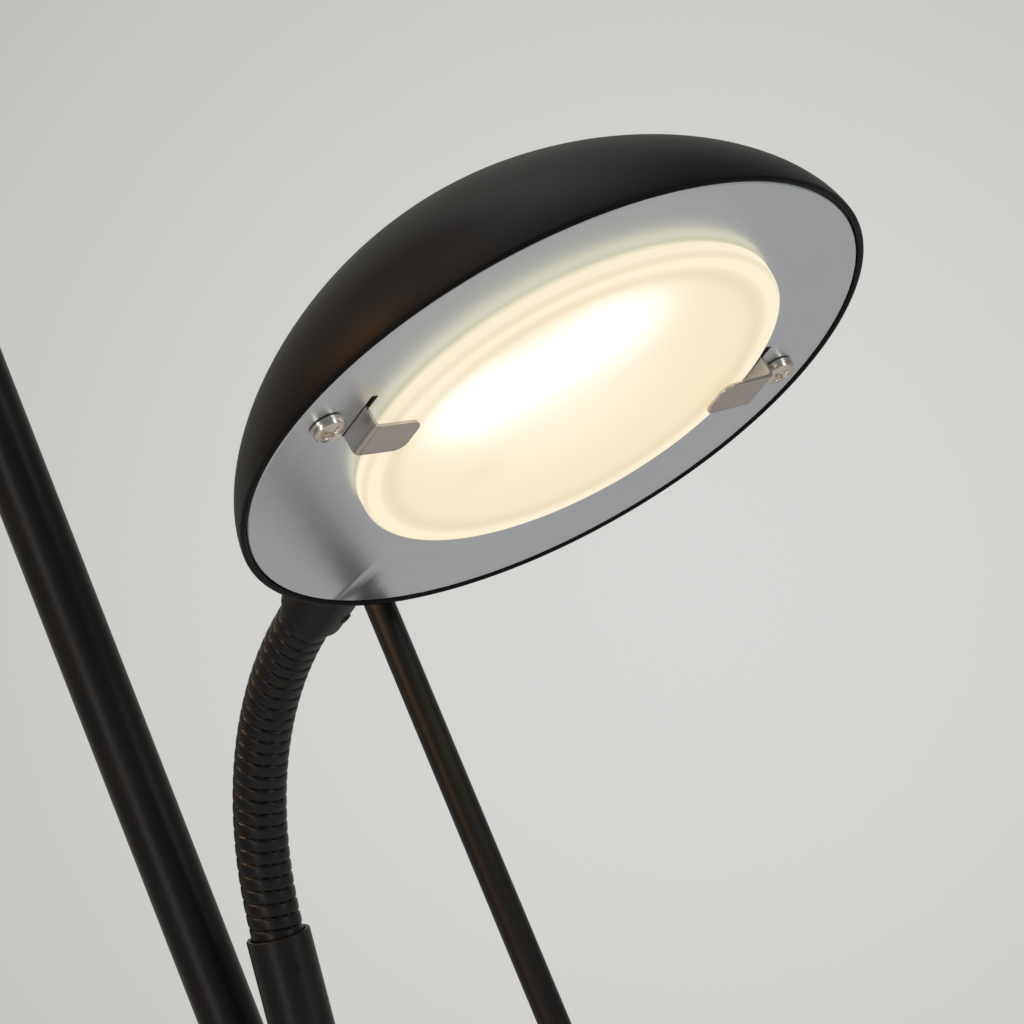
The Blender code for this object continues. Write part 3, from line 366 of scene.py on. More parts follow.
def rounded_block(name, middle, half, corner, ease, arc=8):
    """A rounded rectangle carried upwards. Each ring is drawn in by an inset that follows a quarter circle
    at both ends, so that the top and bottom edges are round too."""
    turn = np.linspace(0, math.pi / 2, arc)
    t = np.linspace(0, math.pi / 2, 6)
    inset = np.concatenate([ease * (1 - np.sin(t)), ease * (1 - np.sin(t[::-1]))])
    height = np.concatenate([-half.z + ease * (1 - np.cos(t)), half.z - ease * (1 - np.cos(t[::-1]))])
    corners = [(1, 1), (-1, 1), (-1, -1), (1, -1)]
    angle = np.concatenate([turn + math.pi / 2 * i for i in range(4)])
    side = np.repeat(np.array(corners, float), arc, axis=0)
    centre = side * np.array([half.x - corner, half.y - corner])
    ring = np.stack([np.cos(angle), np.sin(angle)], axis=1)
    spread = np.maximum(corner - inset, corner * 0.2)[:, None, None]
    flat = centre[None] + ring[None] * spread
    tall = np.repeat(height[:, None], len(angle), 1)[..., None]
    return skin(name, np.concatenate([flat, tall], axis=2) + np.array(middle))


fitted(rounded_block("branch_body_dressed", block_middle, block_half, 0.005, 0.0016), "stand", satin_black,
       "branch_body")
lid_low, lid_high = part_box("branch_cover")
lid_proud, lid_sheet = 0.0004, 0.0006
lid_middle, lid_half = (lid_low + lid_high) / 2, (lid_high - lid_low) / 2
lid_middle.y, lid_half.y = lid_high.y - lid_sheet + lid_proud, lid_sheet + lid_proud
fitted(rounded_block("branch_cover_dressed", lid_middle, lid_half, 0.0009, 0.0005), "stand", satin_black,
       "branch_cover")


def dimmer_place(name):
    """Frame on a dimmer's axis: +Z points out of the block's front."""
    return Matrix.Translation(JOINTS[name + "_dimmer"]["pos_m"]) @ Matrix.Rotation(math.pi / 2, 4, "Y")


def fluted_knob(name, place):
    """Turned knob whose skirt is fluted: the radius swings with the cosine of twelve times the angle,
    and fades out towards the domed front."""
    outline = eased([(0, 0.0022), (0.012, 0.0022), (0.012, 0.0150), (0.0104, 0.0162), (0, 0.0162)],
                    0.0011, steps=6)
    radius, height = outline.T
    angle = np.linspace(0, 2 * math.pi, 192, endpoint=False)
    skirt = np.clip((0.0158 - height) / 0.002, 0, 1) * np.clip((radius - 0.0095) / 0.002, 0, 1)
    fluted = radius[:, None] - 0.0005 * skirt[:, None] * (0.5 + 0.5 * np.cos(12 * angle))[None]
    grid = np.stack([fluted * np.cos(angle), fluted * np.sin(angle), np.repeat(height[:, None], 192, 1)], -1)
    return skin(name, carried(grid, place))


for name in ("reading", "uplight"):
    place = dimmer_place(name)
    fitted(fluted_knob(f"knob_{name}_dressed", place), name + "_dial", rubber, "knob_" + name)
    nut = eased([(0.0033, GAP), (0.0068, GAP), (0.0068, 0.0015), (0.0033, 0.0015)], 0.0003, loop=True)
    fitted(turned(f"dimmer_{name}_nut", nut, place, 48, loop=True), "stand", rubber)

# ------------------------------------------------------------------ arm and sleeve
# A 14 mm tube leans out of the block, and a sleeve with a set screw joins it to the flexible neck.
# Both are powder coated like the pole.
ARM_LEAN = math.radians(10.6)
ARM_ROOT_HEIGHT = 1.025
ARM_LENGTH = 0.177
SLEEVE_LENGTH = 0.045
SLEEVE_RADIUS = 0.0085
ARM_RADIUS = 0.007
NECK_BORE = 0.0073
SLEEVE_SCREW_DROP = 0.0084
arm_place = Matrix.Translation((0, 0, ARM_ROOT_HEIGHT)) @ Matrix.Rotation(ARM_LEAN, 4, "Y")
arm_foot = (block_high.z - ARM_ROOT_HEIGHT) / math.cos(ARM_LEAN) - 0.0147
arm_bore, arm_head = 0.006, ARM_LENGTH - 0.0143
arm_outline = [(arm_bore, arm_foot), (ARM_RADIUS, arm_foot), (ARM_RADIUS, arm_head), (arm_bore, arm_head)]
fitted(turned("arm_tube_dressed", eased(arm_outline, 0.0004, loop=True), arm_place, loop=True), "stand",
       satin_black, "arm_tube")
fitted(turned("neck_sleeve_dressed", eased([
    (NECK_BORE, ARM_LENGTH - SLEEVE_LENGTH), (SLEEVE_RADIUS, ARM_LENGTH - SLEEVE_LENGTH),
    (SLEEVE_RADIUS, ARM_LENGTH), (NECK_BORE, ARM_LENGTH)], 0.0005, loop=True), arm_place, loop=True),
    "stand", satin_black, "neck_sleeve")


def socket_screw(name, place):
    """Set screw with a hexagonal socket. Its face is a disc that drops by a fixed depth inside a hexagon."""
    reach = np.concatenate([np.linspace(0, 0.0011, 12), [0.0013, 0.00150, 0.0016, 0.0016]])
    angle = np.linspace(0, 2 * math.pi, 72, endpoint=False)
    flats = 0.0008 / np.cos((angle + math.pi / 6) % (math.pi / 3) - math.pi / 6)
    sunk = np.clip((flats[None] - reach[:, None]) / 0.00012 + 0.5, 0, 1)
    rim = np.concatenate([np.full(13, 0.00030), [0.00028, 0.00010, -0.0009]])
    height = rim[:, None] - 0.0007 * sunk
    grid = np.stack([np.outer(reach, np.cos(angle)), np.outer(reach, np.sin(angle)), height], -1)
    return skin(name, carried(grid, place))


def on_wall(place, station, angle):
    """Frame on a tube's wall, +Z pointing outwards."""
    return place @ Matrix.Translation((0, 0, station)) @ Matrix.Rotation(math.radians(angle), 4, "Z") \
        @ Matrix.Rotation(math.pi / 2, 4, "Y") @ Matrix.Translation((0, 0, SLEEVE_RADIUS))


sleeve_spot = on_wall(arm_place, ARM_LENGTH - SLEEVE_SCREW_DROP, -25.7)
fitted(socket_screw("sleeve_screw_dressed", sleeve_spot), "stand", satin_black, "sleeve_screw")

# ------------------------------------------------------------------ flexible neck
# A steel hose wound from strip, so that its groove runs round it as a helix. It is made in five lengths,
# each spanning from the middle of one link to the middle of the next; none is attached to a link's body.
NECK_RADIUS = 0.007
NECK_LENGTH = 0.1005
NECK_TURN = math.radians(56.6)
NECK_GRIP = 0.010
TURNS = 27
GROOVE = 0.00065
bend_radius = NECK_LENGTH / NECK_TURN
mouth_place = arm_place @ Matrix.Translation((0, 0, ARM_LENGTH))


def neck_place(station):
    """Frame on the neck's arc. Past either end the line runs straight on."""
    held = min(max(station, 0.0), NECK_LENGTH)
    turn = held / bend_radius
    arc = (bend_radius * (1 - math.cos(turn)), 0, bend_radius * math.sin(turn))
    return mouth_place @ Matrix.Translation(arc) @ Matrix.Rotation(turn, 4, "Y") \
        @ Matrix.Translation((0, 0, station - held))


def hose(name, start, end):
    """Tube along the arc. Its radius loses a groove where the number of turns up to a point, which counts
    the angle round the hose too, is half way between two whole numbers."""
    count = int(round((end - start) / NECK_LENGTH * TURNS * 14)) + 1
    station = np.linspace(start, end, count)
    angle = np.linspace(0, 2 * math.pi, 72, endpoint=False)
    turns = station[:, None] / NECK_LENGTH * TURNS + angle[None] / (2 * math.pi)
    crown = np.abs(turns % 1 - 0.5) * 2
    radius = NECK_RADIUS - GROOVE * (1 - crown) ** 8 - 0.00010 * (1 - crown) ** 2
    ring = np.stack([radius * np.cos(angle), radius * np.sin(angle), np.zeros_like(radius)], -1)
    places = [neck_place(value) for value in station]
    turn = np.array([np.array(place.to_3x3()) for place in places])
    middle = np.array([np.array(place.translation) for place in places])
    return skin(name, np.einsum("sij,scj->sci", turn, ring) + middle[:, None])


neck_black = black_paint("neck_black", 0.34)
joined = [("neck_foot",), ("neck_link_1",), ("neck_link_2",), ("neck_link_3",), ("neck_link_4", "neck_end")]
for i, nodes in enumerate(joined):
    start, end = NECK_LENGTH * i / 5, NECK_LENGTH * (i + 1) / 5
    length = hose(f"neck_hose_{i + 1}", start - (NECK_GRIP if i == 0 else 0),
                  end + (NECK_GRIP if i == 4 else 0))
    length.data.materials.append(neck_black.material)
    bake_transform(length)
    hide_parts(*nodes)

# ------------------------------------------------------------------ ferrule, hub and rod
# The ferrule caps the neck, the hub is bolted through the dome's flank, and the head turns between the two.
# A thin steel rod stands in the hub for steering the head.
FERRULE_LENGTH = 0.0173
FERRULE_FLOOR = 0.0103
FERRULE_SCREW_STATION = 0.0062
WIRE_BORE = 0.0028
HUB_MOUTH = 0.1000
HUB_DEPTH = 0.0218
FERRULE_MOUTH = 0.1176
HEAD_ROLL = math.radians(9.3)
ROD_RADIUS = 0.00375
ROD_LENGTH = 0.185
ROD_STATION = 0.0906
ROD_TURN = math.radians(-7.3)
RIM_RADIUS = 0.0824
PLATE_RADIUS = 0.0804
DOME_DEPTH = 0.0532
DOME_FLANK = 1.21

neck_top = neck_place(NECK_LENGTH)
along = Vector(JOINTS["head_swivel"]["axis"]).normalized()
sideways = Vector((0, 1, 0))
into_dome = math.cos(HEAD_ROLL) * along.cross(sideways) + math.sin(HEAD_ROLL) * sideways
head_place = Matrix.Translation(neck_top.translation + FERRULE_MOUTH * along - HUB_DEPTH * into_dome) \
    @ Matrix((along, into_dome.cross(along), into_dome)).transposed().to_4x4()
hub_place = head_place @ Matrix.Translation((0, 0, HUB_DEPTH)) @ Matrix.Rotation(math.pi / 2, 4, "Y")

fitted(turned("ferrule_dressed", eased([
    (NECK_BORE, 0), (SLEEVE_RADIUS, 0), (SLEEVE_RADIUS, FERRULE_LENGTH), (WIRE_BORE, FERRULE_LENGTH),
    (WIRE_BORE, FERRULE_FLOOR), (NECK_BORE, FERRULE_FLOOR)], 0.0005, loop=True), neck_top, loop=True),
    "neck_tip", satin_black, "ferrule")
ferrule_spot = on_wall(neck_top, FERRULE_SCREW_STATION, 13)
fitted(socket_screw("ferrule_screw_dressed", ferrule_spot), "neck_tip", satin_black, "ferrule_screw")
hub_end = -0.0785
fitted(turned("head_hub_dressed", eased([
    (WIRE_BORE, -HUB_MOUTH), (SLEEVE_RADIUS, -HUB_MOUTH), (SLEEVE_RADIUS, hub_end), (WIRE_BORE, hub_end)],
    0.0005, loop=True), hub_place, loop=True), "reading_head", satin_black, "head_hub")
rod_place = head_place @ Matrix.Translation((-ROD_STATION, 0, HUB_DEPTH)) \
    @ Matrix.Rotation(ROD_TURN + math.pi, 4, "X")
tip = np.linspace(0, math.pi / 2, 10)
rod_tip = np.stack([ROD_RADIUS * np.cos(tip), ROD_LENGTH - ROD_RADIUS * (1 - np.sin(tip))], 1)
rod_outline = np.concatenate([[(0, 0.0061), (ROD_RADIUS, 0.0061)], rod_tip])
rod_outline[-1, 0] = 0
fitted(turned("handle_rod_dressed", rod_outline, rod_place, 64), "reading_head", satin_black, "handle_rod")


# ------------------------------------------------------------------ dome of the reading head
# Spun steel, powder coated inside and out, with a thin rolled rim that stands round the face plate.
# One screw holds it at the crown.
def dome_line(radius, depth):
    """Superellipse from the rim to the crown: radius and depth times a power of the cosine and the sine."""
    t = np.linspace(0, math.pi / 2, 44)
    line = np.stack([radius * np.cos(t) ** DOME_FLANK, depth * np.sin(t) ** DOME_FLANK], 1)
    line[-1, 0] = 0
    return line


def spun_dome(name, place, rim, plate, depth, columns):
    """Both walls of the dome and the rim between them. Inside, the wall starts behind the plate."""
    wall = 0.0015
    outer, inner = dome_line(rim, depth), dome_line(rim - wall, depth - wall)
    lip = plate + GAP
    front = -0.0004
    bend = np.linspace(0, math.pi, 11)
    bead = np.stack([(lip + rim) / 2 - (rim - lip) / 2 * np.cos(bend),
                     0.0004 + (front - 0.0004) * np.sin(bend)], 1)
    rolled = np.concatenate([[(lip, 0.0014)], bead])
    shelf = inner[inner[:, 1] > 0.004]
    outline = np.concatenate([shelf[::-1], [(shelf[0, 0] - 0.0003, 0.0014)], rolled, outer[1:]])
    return turned(name, outline, place, columns)


dome_black = black_paint("dome_black", 0.46, 0.10)
fitted(spun_dome("head_shell_dressed", head_place, RIM_RADIUS, PLATE_RADIUS, DOME_DEPTH, 192), "reading_head",
       dome_black, "head_shell")
fitted(turned("head_apex_screw_dressed", eased([
    (0, DOME_DEPTH - 0.004), (0.002, DOME_DEPTH - 0.004), (0.002, DOME_DEPTH + GAP),
    (0.0042, DOME_DEPTH + GAP), (0.0038, DOME_DEPTH + 0.0015),
    (0.0021, DOME_DEPTH + 0.0022), (0, DOME_DEPTH + 0.0024)], 0.0004),
    head_place, 48), "reading_head", satin_black, "head_apex_screw")


# ------------------------------------------------------------------ face plate of the reading head
# Satin aluminium, faced on a lathe, so that faint rings run round its middle. The window sits off centre,
# and a slot and a screw hole are cut for each clip.
def applied(piece):
    """Makes a piece's modifiers final in its mesh."""
    seen = piece.evaluated_get(bpy.context.evaluated_depsgraph_get())
    made = bpy.data.meshes.new_from_object(seen)
    piece.modifiers.clear()
    piece.data = made
    return piece


def pierced(piece, cutters):
    """Takes cutters out of a piece."""
    for cutter in cutters:
        cut = piece.modifiers.new("cut", "BOOLEAN")
        cut.object, cut.operation, cut.solver = cutter, "DIFFERENCE", "EXACT"
    bpy.context.view_layer.update()
    applied(piece)
    for cutter in cutters:
        bpy.data.objects.remove(cutter, do_unlink=True)
    piece.data.shade_smooth()
    piece.data.set_sharp_from_angle(angle=math.radians(30))
    return piece


def face_plate(name, place, plate, window, shift):
    """Ring between two circles that need not share a centre: each point is part way from the window's
    circle to the rim's. The rim carries a small chamfer."""
    thick, chamfer = 0.0012, 0.0003
    angle = np.linspace(0, 2 * math.pi, 192, endpoint=False)
    ring = np.stack([np.cos(angle), np.sin(angle)], 1)
    inner = ring * window + np.array([shift, 0])
    share = np.array([0, 0.004, 0.5, 0.992, 1.0, 1.0, 0.5, 0.0])
    rim = np.array([plate, plate, plate, plate, plate - chamfer, plate, plate, plate])
    height = np.array([0.0002, 0.0, 0.0, 0.0, 0.0, chamfer, thick, thick])
    flat = inner[None] + (ring[None] * rim[:, None, None] - inner[None]) * share[:, None, None]
    tall = np.repeat(height[:, None], len(angle), 1)[..., None]
    return skin(name, carried(np.concatenate([flat, tall], 2), place), loop=True)


def slot_cutters(place, clip_frames, riser, screw):
    """Box for each clip's slot, longer on the side away from the ferrule, and a round hole for its screw."""
    made = []
    for i, clip in enumerate(clip_frames):
        side = 1 if (place.inverted() @ clip).to_3x3().col[0].x >= 0 else -1
        middle = clip @ Matrix.Translation((side * 0.0017, riser - 0.0003, 0.0006))
        made.append(rounded_block(f"slot_{i}", Vector(), Vector((0.0077, 0.0010, 0.004)), 0.0004, 0.0001))
        made[-1].data.transform(middle)
        made.append(turned(f"hole_{i}", [(0, -0.004), (0.0023, -0.004), (0.0023, 0.004), (0, 0.004)],
                           clip @ Matrix.Translation((0, screw, 0)), 24))
    return made


def turned_aluminium(name, place):
    """Faced aluminium: rings about the plate's axis stir the height and the roughness very slightly.
    Broad rings and blotches paint the colour lighter and darker as painted reflections; the blotches also
    vary the roughness.
    """
    metal = Finish(name, "brushed_aluminium", (0.62, 0.62, 0.615), 0.33, 1.0)
    point = metal.here(place)
    x, y, _ = metal.apart(point)
    radius = (x * x + y * y) ** 0.5
    rings = metal.node("TexNoise", {"noise_dimensions": "1D"}, {"W": radius, "Scale": 1500.0, "Detail": 2.0})
    painted_reflection_rings = metal.node("TexNoise", {"noise_dimensions": "1D"}, {"W": radius, "Scale": 130.0, "Detail": 1.0})
    mottle_and_painted_reflection = metal.noise(point, 28.0)
    # Painted reflections: broad rings and blotches make the plate's colour lighter and darker.
    metal.drive("Base Color", metal.mix(0.55 * mottle_and_painted_reflection + 0.45 * painted_reflection_rings, (0.67, 0.73, 0.785, 1),
                                        (0.80, 0.865, 0.915, 1)))
    metal.drive("Roughness", 0.25 + 0.10 * rings + 0.06 * mottle_and_painted_reflection)
    metal.emboss(rings, 0.00002, 0.35)
    return metal


def clip_frame(place, shift, angle):
    """Frame whose +Y is a clip's direction from the dome's axis."""
    return place @ Matrix.Translation((shift, 0, 0)) \
        @ Matrix.Rotation(math.radians(angle) - math.pi / 2, 4, "Z")


GLASS_SHIFT = 0.005
WINDOW_RADIUS = 0.0476
CLIP_RISER = 0.062
SCREW_STATION = 0.0706
head_clips = [clip_frame(head_place, 0.0015, -86.6), clip_frame(head_place, 0.0015, 93.4)]
head_plate = face_plate("head_plate_dressed", head_place, PLATE_RADIUS, WINDOW_RADIUS, GLASS_SHIFT)
pierced(head_plate, slot_cutters(head_place, head_clips, CLIP_RISER, SCREW_STATION))
fitted(head_plate, "reading_head", turned_aluminium("turned_aluminium", head_place), "head_plate")

# ------------------------------------------------------------------ glass of the reading head
# A disc of frosted glass with a polished edge, lit from behind by three LEDs. It glows almost white over
# them and creamy towards its rim, and the edge shows a little green.
GLASS_THICKNESS = 0.0046
GLASS_RADIUS = 0.0551


def glass_disc(name, place, radius, thickness):
    front = -GAP - thickness
    edge = np.linspace(0, math.pi / 2, 9)
    round_edge = np.stack([radius - 0.0016 * (1 - np.sin(edge)), front + 0.0016 * (1 - np.cos(edge))], 1)
    outline = np.concatenate([[(0, front), (radius - 0.0030, front)], round_edge,
                              [(radius, -GAP - 0.0005), (radius - 0.0005, -GAP), (0, -GAP)]])
    return turned(name, outline, place, 192)


def glowing_glass(name, place, radius, lobes):
    """Glow that is a sum of bells about the lamps, dips over the window's edge and warms on the side wall."""
    glass = Finish(name, "frosted_glass", (0.16, 0.15, 0.13), 0.42, Specular_IOR_Level=0.35)
    x, y, z = glass.apart(glass.here(place))
    reach = (x * x + y * y) ** 0.5
    bells = 0.0
    for middle_x, middle_y, width, height in lobes:
        across = ((x - middle_x) * (x - middle_x) + (y - middle_y) * (y - middle_y)) / (width * width)
        bells = bells + height * (math.e ** (-1.0 * across))
    hot = glass.rise(bells, 0.08, 1.15)
    colour = glass.mix(hot, (0.90, 0.78, 0.53, 1), (1.34, 1.31, 1.18, 1))
    dip = math.e ** (-1.0 * ((reach - 0.0482) * (reach - 0.0482)) / (0.0022 * 0.0022))
    colour = glass.mix(0.34 * dip, colour, (0.66, 0.55, 0.36, 1))
    rim = glass.rise(reach, radius - 0.0052, radius - 0.0034)
    colour = glass.mix(0.75 * rim, colour, (0.98, 0.88, 0.66, 1))
    side = glass.rise(reach, radius - 0.0012, radius - 0.0006)
    lip = side * (1.0 - glass.rise(z, -0.0040, -0.0030))
    colour = glass.mix(0.28 * lip, colour, (0.60, 0.52, 0.33, 1))
    edge_line = glass.rise(z, -GAP - 0.0010, -GAP - 0.0004) * side
    colour = glass.mix(0.45 * edge_line, colour, (0.60, 0.56, 0.30, 1))
    glass.drive("Emission Color", colour)
    glass.drive("Emission Strength", 0.92)
    return glass


glass_place = head_place @ Matrix.Translation((GLASS_SHIFT, 0, 0))
head_glow = glowing_glass("lit_glass", glass_place, GLASS_RADIUS, [
    (0.030, -0.006, 0.0155, 0.80), (0.006, -0.032, 0.0150, 0.80), (0.017, -0.021, 0.017, 0.42),
    (0.0230, -0.0205, 0.0011, 0.5), (0.0143, -0.0298, 0.0010, 0.35), (0.000, -0.004, 0.042, 0.42),
    (-0.0244, -0.0146, 0.0050, -0.14)])
fitted(glass_disc("head_glass_dressed", glass_place, GLASS_RADIUS, GLASS_THICKNESS), "reading_head",
       head_glow, "head_glass")


# ------------------------------------------------------------------ clips and screws of the reading head
# Folded nickel-plated spring steel: each clip rises through its slot and bends over the glass.
# A pan-head screw with a cross recess holds its foot.
def folded_clip(name, place, riser, thickness, reach, lift):
    """Strip carried along a Z-shaped line with round bends. Its half width shrinks along a quarter circle
    at the tongue's tip."""
    width, corner, sheet = 0.011, 0.0030, 0.0008
    foot, over = 0.0019, -GAP - thickness - GAP - sheet / 2
    path = eased([(riser + 0.0140, foot), (riser, foot), (riser, over), (riser - reach, over - lift)],
                 0.0011, steps=6)
    step = np.concatenate([[0], np.cumsum(np.linalg.norm(np.diff(path, axis=0), axis=1))])
    fine = np.unique(np.concatenate([step, np.linspace(step[-1] - corner, step[-1], 14)]))
    line = np.stack([np.interp(fine, step, path[:, 0]), np.interp(fine, step, path[:, 1])], 1)
    left = np.clip(corner - (step[-1] - fine), 0, corner)
    half = width / 2 - corner + np.sqrt(np.maximum(corner ** 2 - left ** 2, 0))
    share = np.linspace(-1, 1, 9)
    grid = np.stack([half[:, None] * share[None], np.repeat(line[:, :1], 9, 1),
                     np.repeat(line[:, 1:], 9, 1)], -1)
    rows = len(fine)
    label = np.arange(rows * 9).reshape(rows, 9)
    faces = np.stack([label[:-1, :-1], label[:-1, 1:], label[1:, 1:], label[1:, :-1]], -1).reshape(-1, 4)
    mesh = bpy.data.meshes.new(name)
    mesh.from_pydata(carried(grid, place).reshape(-1, 3).tolist(), [], faces.tolist())
    piece = bpy.data.objects.new(name, mesh)
    bpy.context.scene.collection.objects.link(piece)
    wall = piece.modifiers.new("wall", "SOLIDIFY")
    wall.thickness, wall.offset = sheet, 0.0
    bevel = piece.modifiers.new("edge", "BEVEL")
    bevel.width, bevel.segments = 0.00012, 2
    bpy.context.view_layer.update()
    applied(piece)
    piece.data.shade_smooth()
    piece.data.set_sharp_from_angle(angle=math.radians(35))
    return piece


def cross_screw(name, place):
    """Pan head over a round skirt. Two crossed bars sink into it: a bar is deep where one coordinate is
    small, and the recess shallows towards its ends."""
    reach = np.concatenate([np.linspace(0, 0.0036, 46), [0.0039, 0.0041, 0.0042, 0.0042, 0.0020, 0.0020]])
    top = np.concatenate([-0.0026 + 0.0004 * (np.linspace(0, 0.0036, 46) / 0.0036) ** 2.5,
                          [-0.0019, -0.0014, -0.0009, 0.0, 0.0, 0.004]])
    angle = np.linspace(0, 2 * math.pi, 144, endpoint=False)
    x, y = np.outer(reach, np.cos(angle)), np.outer(reach, np.sin(angle))
    thin, long = np.minimum(abs(x), abs(y)), np.maximum(abs(x), abs(y))
    bar = np.clip((0.00062 - thin) / 0.0002, 0, 1) * np.clip((0.0026 - long) / 0.0009, 0, 1)
    bar[46:] = 0
    grid = np.stack([x, y, top[:, None] + 0.0012 * bar], -1)
    return skin(name, carried(grid, place))


def plated(name, slot, colour, roughness):
    """Plated steel with faint scratches that run one way and a slight haze."""
    metal = Finish(name, slot, colour, roughness, 1.0)
    point = metal.here()
    haze = metal.noise(point, 320.0)
    drawn_out = metal.node("Mapping", None, {"Vector": point, "Scale": (40.0, 2200.0, 900.0)})
    scratches = metal.noise(drawn_out, 1.0)
    metal.drive("Base Color", metal.mix(haze, (*[0.82 * c for c in colour], 1), (*colour, 1)))
    metal.drive("Roughness", roughness - 0.05 + 0.16 * scratches)
    metal.emboss(scratches, 0.00002, 0.25)
    return metal


clip_nickel = plated("clip_nickel", "nickel", (0.66, 0.61, 0.57), 0.30)
screw_nickel = plated("screw_nickel", "nickel", (0.88, 0.82, 0.72), 0.20)
for side, clip, reach, lift in zip(("left", "right"), head_clips, (0.0138, 0.0163), (0.0, 0.0016)):
    fitted(folded_clip(f"head_clip_{side}_dressed", clip, CLIP_RISER, GLASS_THICKNESS, reach, lift),
           "reading_head", clip_nickel, "head_clip_" + side)
    spot = clip @ Matrix.Translation((0, SCREW_STATION, -GAP)) @ Matrix.Rotation(math.radians(20), 4, "Z")
    fitted(cross_screw(f"head_screw_{side}_dressed", spot), "reading_head", screw_nickel,
           "head_screw_" + side)

# ------------------------------------------------------------------ uplighter bowl
# The same build as the reading head, larger and facing up: a spun bowl on the pole's top, with a faced
# aluminium plate and a frosted glass held by two clips. Its lamp is off.
BOWL_RIM_HEIGHT = 1.793
BOWL_DEPTH = 0.062
BOWL_RIM_RADIUS = 0.1424
BOWL_PLATE_RADIUS = 0.140
BOWL_WINDOW_RADIUS = 0.0895
BOWL_GLASS_RADIUS = 0.097
BOWL_GLASS_THICKNESS = 0.005
BOWL_CLIP_RISER = 0.1035
BOWL_SCREW_STATION = 0.1125
bowl_place = Matrix.Translation((0, 0, BOWL_RIM_HEIGHT)) @ Matrix.Rotation(math.pi, 4, "X")
fitted(spun_dome("bowl_shell_dressed", bowl_place, BOWL_RIM_RADIUS, BOWL_PLATE_RADIUS, BOWL_DEPTH, 224),
       "stand", satin_black, "bowl_shell")
bowl_clips = [clip_frame(bowl_place, 0, -90), clip_frame(bowl_place, 0, 90)]
bowl_plate = face_plate("bowl_plate_dressed", bowl_place, BOWL_PLATE_RADIUS, BOWL_WINDOW_RADIUS, 0.0)
pierced(bowl_plate, slot_cutters(bowl_place, bowl_clips, BOWL_CLIP_RISER, BOWL_SCREW_STATION))
fitted(bowl_plate, "stand", turned_aluminium("bowl_aluminium", bowl_place), "bowl_plate")
unlit = Finish("unlit_glass", "frosted_glass", (0.80, 0.82, 0.79), 0.50)
unlit_grain = unlit.noise(unlit.here(), 900.0)
unlit.drive("Base Color", unlit.mix(unlit_grain, (0.76, 0.79, 0.76, 1), (0.84, 0.855, 0.83, 1)))
unlit.drive("Roughness", 0.44 + 0.12 * unlit_grain)
fitted(glass_disc("bowl_glass_dressed", bowl_place, BOWL_GLASS_RADIUS, BOWL_GLASS_THICKNESS), "stand",
       unlit, "bowl_glass")
for side, clip in zip(("left", "right"), bowl_clips):
    fitted(folded_clip(f"bowl_clip_{side}_dressed", clip, BOWL_CLIP_RISER, BOWL_GLASS_THICKNESS, 0.0125, 0.0),
           "stand", clip_nickel, "bowl_clip_" + side)
    spot = clip @ Matrix.Translation((0, BOWL_SCREW_STATION, -GAP))
    fitted(cross_screw(f"bowl_screw_{side}_dressed", spot), "stand", screw_nickel, "bowl_screw_" + side)
collar_top = BOWL_DEPTH + 0.010
fitted(turned("bowl_collar_dressed", eased([
    (BORE, BOWL_DEPTH + 0.0006), (0.015, BOWL_DEPTH + 0.0012), (0.015, BOWL_DEPTH + 0.0036),
    (0.0095, BOWL_DEPTH + 0.0091), (0.008, collar_top - GAP), (BORE, collar_top - GAP)], 0.0006, loop=True),
    bowl_place, loop=True), "stand", satin_black, "bowl_collar")

# ------------------------------------------------------------------ inner works
# What the casings hide: zinc-plated steel, turned aluminium, raw iron and white LED modules.
# Their shapes are the frame's own.
zinc = plated("zinc_plate", "zinc_steel", (0.58, 0.58, 0.56), 0.40)
iron = Finish("cast_iron", "cast_iron", (0.10, 0.10, 0.10), 0.78, 0.6)
iron_grain = iron.noise(iron.here(), 420.0, 5.0)
iron.drive("Roughness", 0.66 + 0.2 * iron_grain)
iron.emboss(iron_grain, 0.0003, 0.7)
sink = plated("sink_aluminium", "sink_aluminium", (0.72, 0.73, 0.74), 0.42)
mirror = plated("reflector_aluminium", "reflector_aluminium", (0.86, 0.86, 0.85), 0.18)
module = Finish("led_white", "led_white", (0.90, 0.88, 0.80), 0.5)
module_grain = module.noise(module.here(), 1500.0)
module.drive("Roughness", 0.42 + 0.14 * module_grain)
INNER = {"base_plate": zinc, "base_weight": iron, "tie_bolt": zinc, "pole_stud": zinc, "cover_screw": zinc,
         "head_yoke": zinc, "hub_bolt": zinc, "bowl_bolt": zinc, "bowl_carrier": zinc, "head_heat_sink": sink,
         "bowl_heat_sink": sink, "head_reflector": mirror, "bowl_reflector": mirror,
         "head_led_module": module,
         "bowl_led_module": module, "led_driver": rubber, "dimmer_reading": rubber, "dimmer_uplight": rubber}
for node, finish in INNER.items():
    for slot in frame["nodes"][node].material_slots:
        slot.material = finish.material

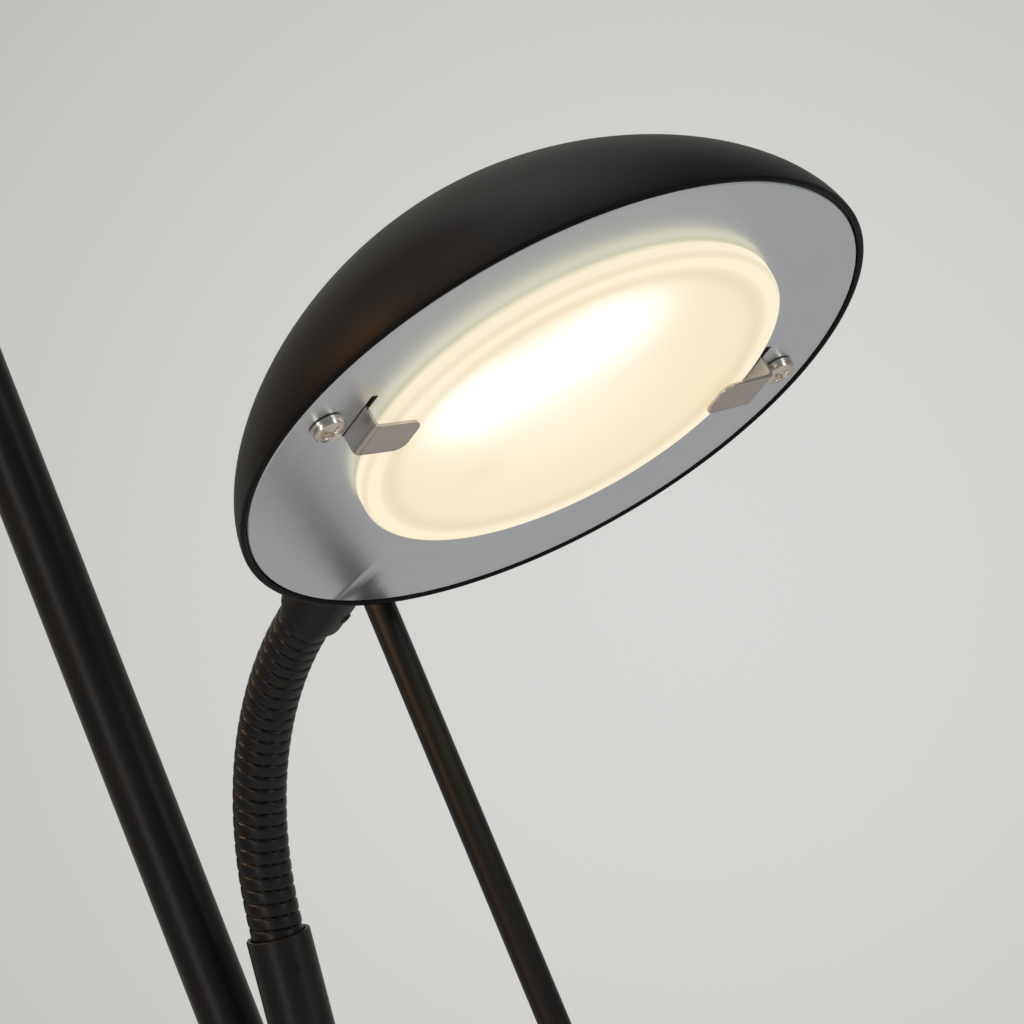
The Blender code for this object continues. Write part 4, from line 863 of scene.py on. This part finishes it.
# ------------------------------------------------------------------ room
# A plain pale floor, an even pale surround and large soft lights. A warm lamp stands to one side, and its
# glow shows on the dome.
floor_mesh = bpy.data.meshes.new("floor")
FLOOR_HALF = 4.0
floor_mesh.from_pydata([(-FLOOR_HALF, -FLOOR_HALF, 0), (FLOOR_HALF, -FLOOR_HALF, 0),
                        (FLOOR_HALF, FLOOR_HALF, 0), (-FLOOR_HALF, FLOOR_HALF, 0)], [], [(0, 1, 2, 3)])
floor = bpy.data.objects.new("floor", floor_mesh)
bpy.context.scene.collection.objects.link(floor)
floor_mesh.materials.append(Finish("pale_floor", None, (0.78, 0.78, 0.775), 0.9).material)

world = bpy.data.worlds.new("surround")
bpy.context.scene.world = world
sky = Graph(world, "Background")
direction = sky.node("TexCoord")


def facing(line):
    """How nearly a ray runs along a line: the dot product of the two directions."""
    return sky.node("VectorMath", {"operation": "DOT_PRODUCT"}, {0: direction, 1: tuple(line)}, 1)


brightest = (-backwards + 0.030 * camera_right - 0.012 * camera_up).normalized()
spread = sky.node("MapRange", None, {"Value": facing(brightest), "From Min": math.cos(math.radians(9.5)),
                                     "From Max": 1.0})
wall = sky.mix(spread, (0.500, 0.497, 0.470, 1), (0.676, 0.674, 0.660, 1))
sky.drive("Color", sky.mix(sky.rise(facing(-backwards), 0.25, 0.95), (0.200, 0.200, 0.202, 1), wall))
sky.drive("Strength", 1.0)


def soft_light(name, place, target, width, height, power, colour):
    """Rectangular area light that faces a point."""
    data = bpy.data.lights.new(name, "AREA")
    data.shape = "RECTANGLE"
    data.size, data.size_y, data.energy, data.color = width, height, power, colour
    lamp = bpy.data.objects.new(name, data)
    bpy.context.scene.collection.objects.link(lamp)
    aim = (Vector(target) - Vector(place)).to_track_quat("-Z", "Y").to_matrix().to_4x4()
    lamp.matrix_world = Matrix.Translation(place) @ aim


head_middle = head_place.translation
left_front = (backwards - 0.75 * level).normalized()
right_front = (backwards + 1.6 * level).normalized()
soft_light("ceiling", Vector((0, 0, 3.4)), Vector((0, 0, 0)), 2.6, 2.6, 34.0, (1.0, 0.99, 0.97))
soft_light("left_panel", head_middle + 2.4 * left_front, head_middle, 0.45, 2.2, 10.0, (1.0, 0.98, 0.94))
soft_light("right_panel", head_middle + 2.4 * right_front, head_middle, 0.4, 2.2, 7.5, (0.93, 0.96, 1.0))
soft_light("warm_lamp", head_middle + Vector((-0.6, -0.9, 1.2)), head_middle, 0.30, 0.30, 7.0,
           (1.0, 0.48, 0.16))
bpy.context.scene.view_settings.view_transform = "Standard"
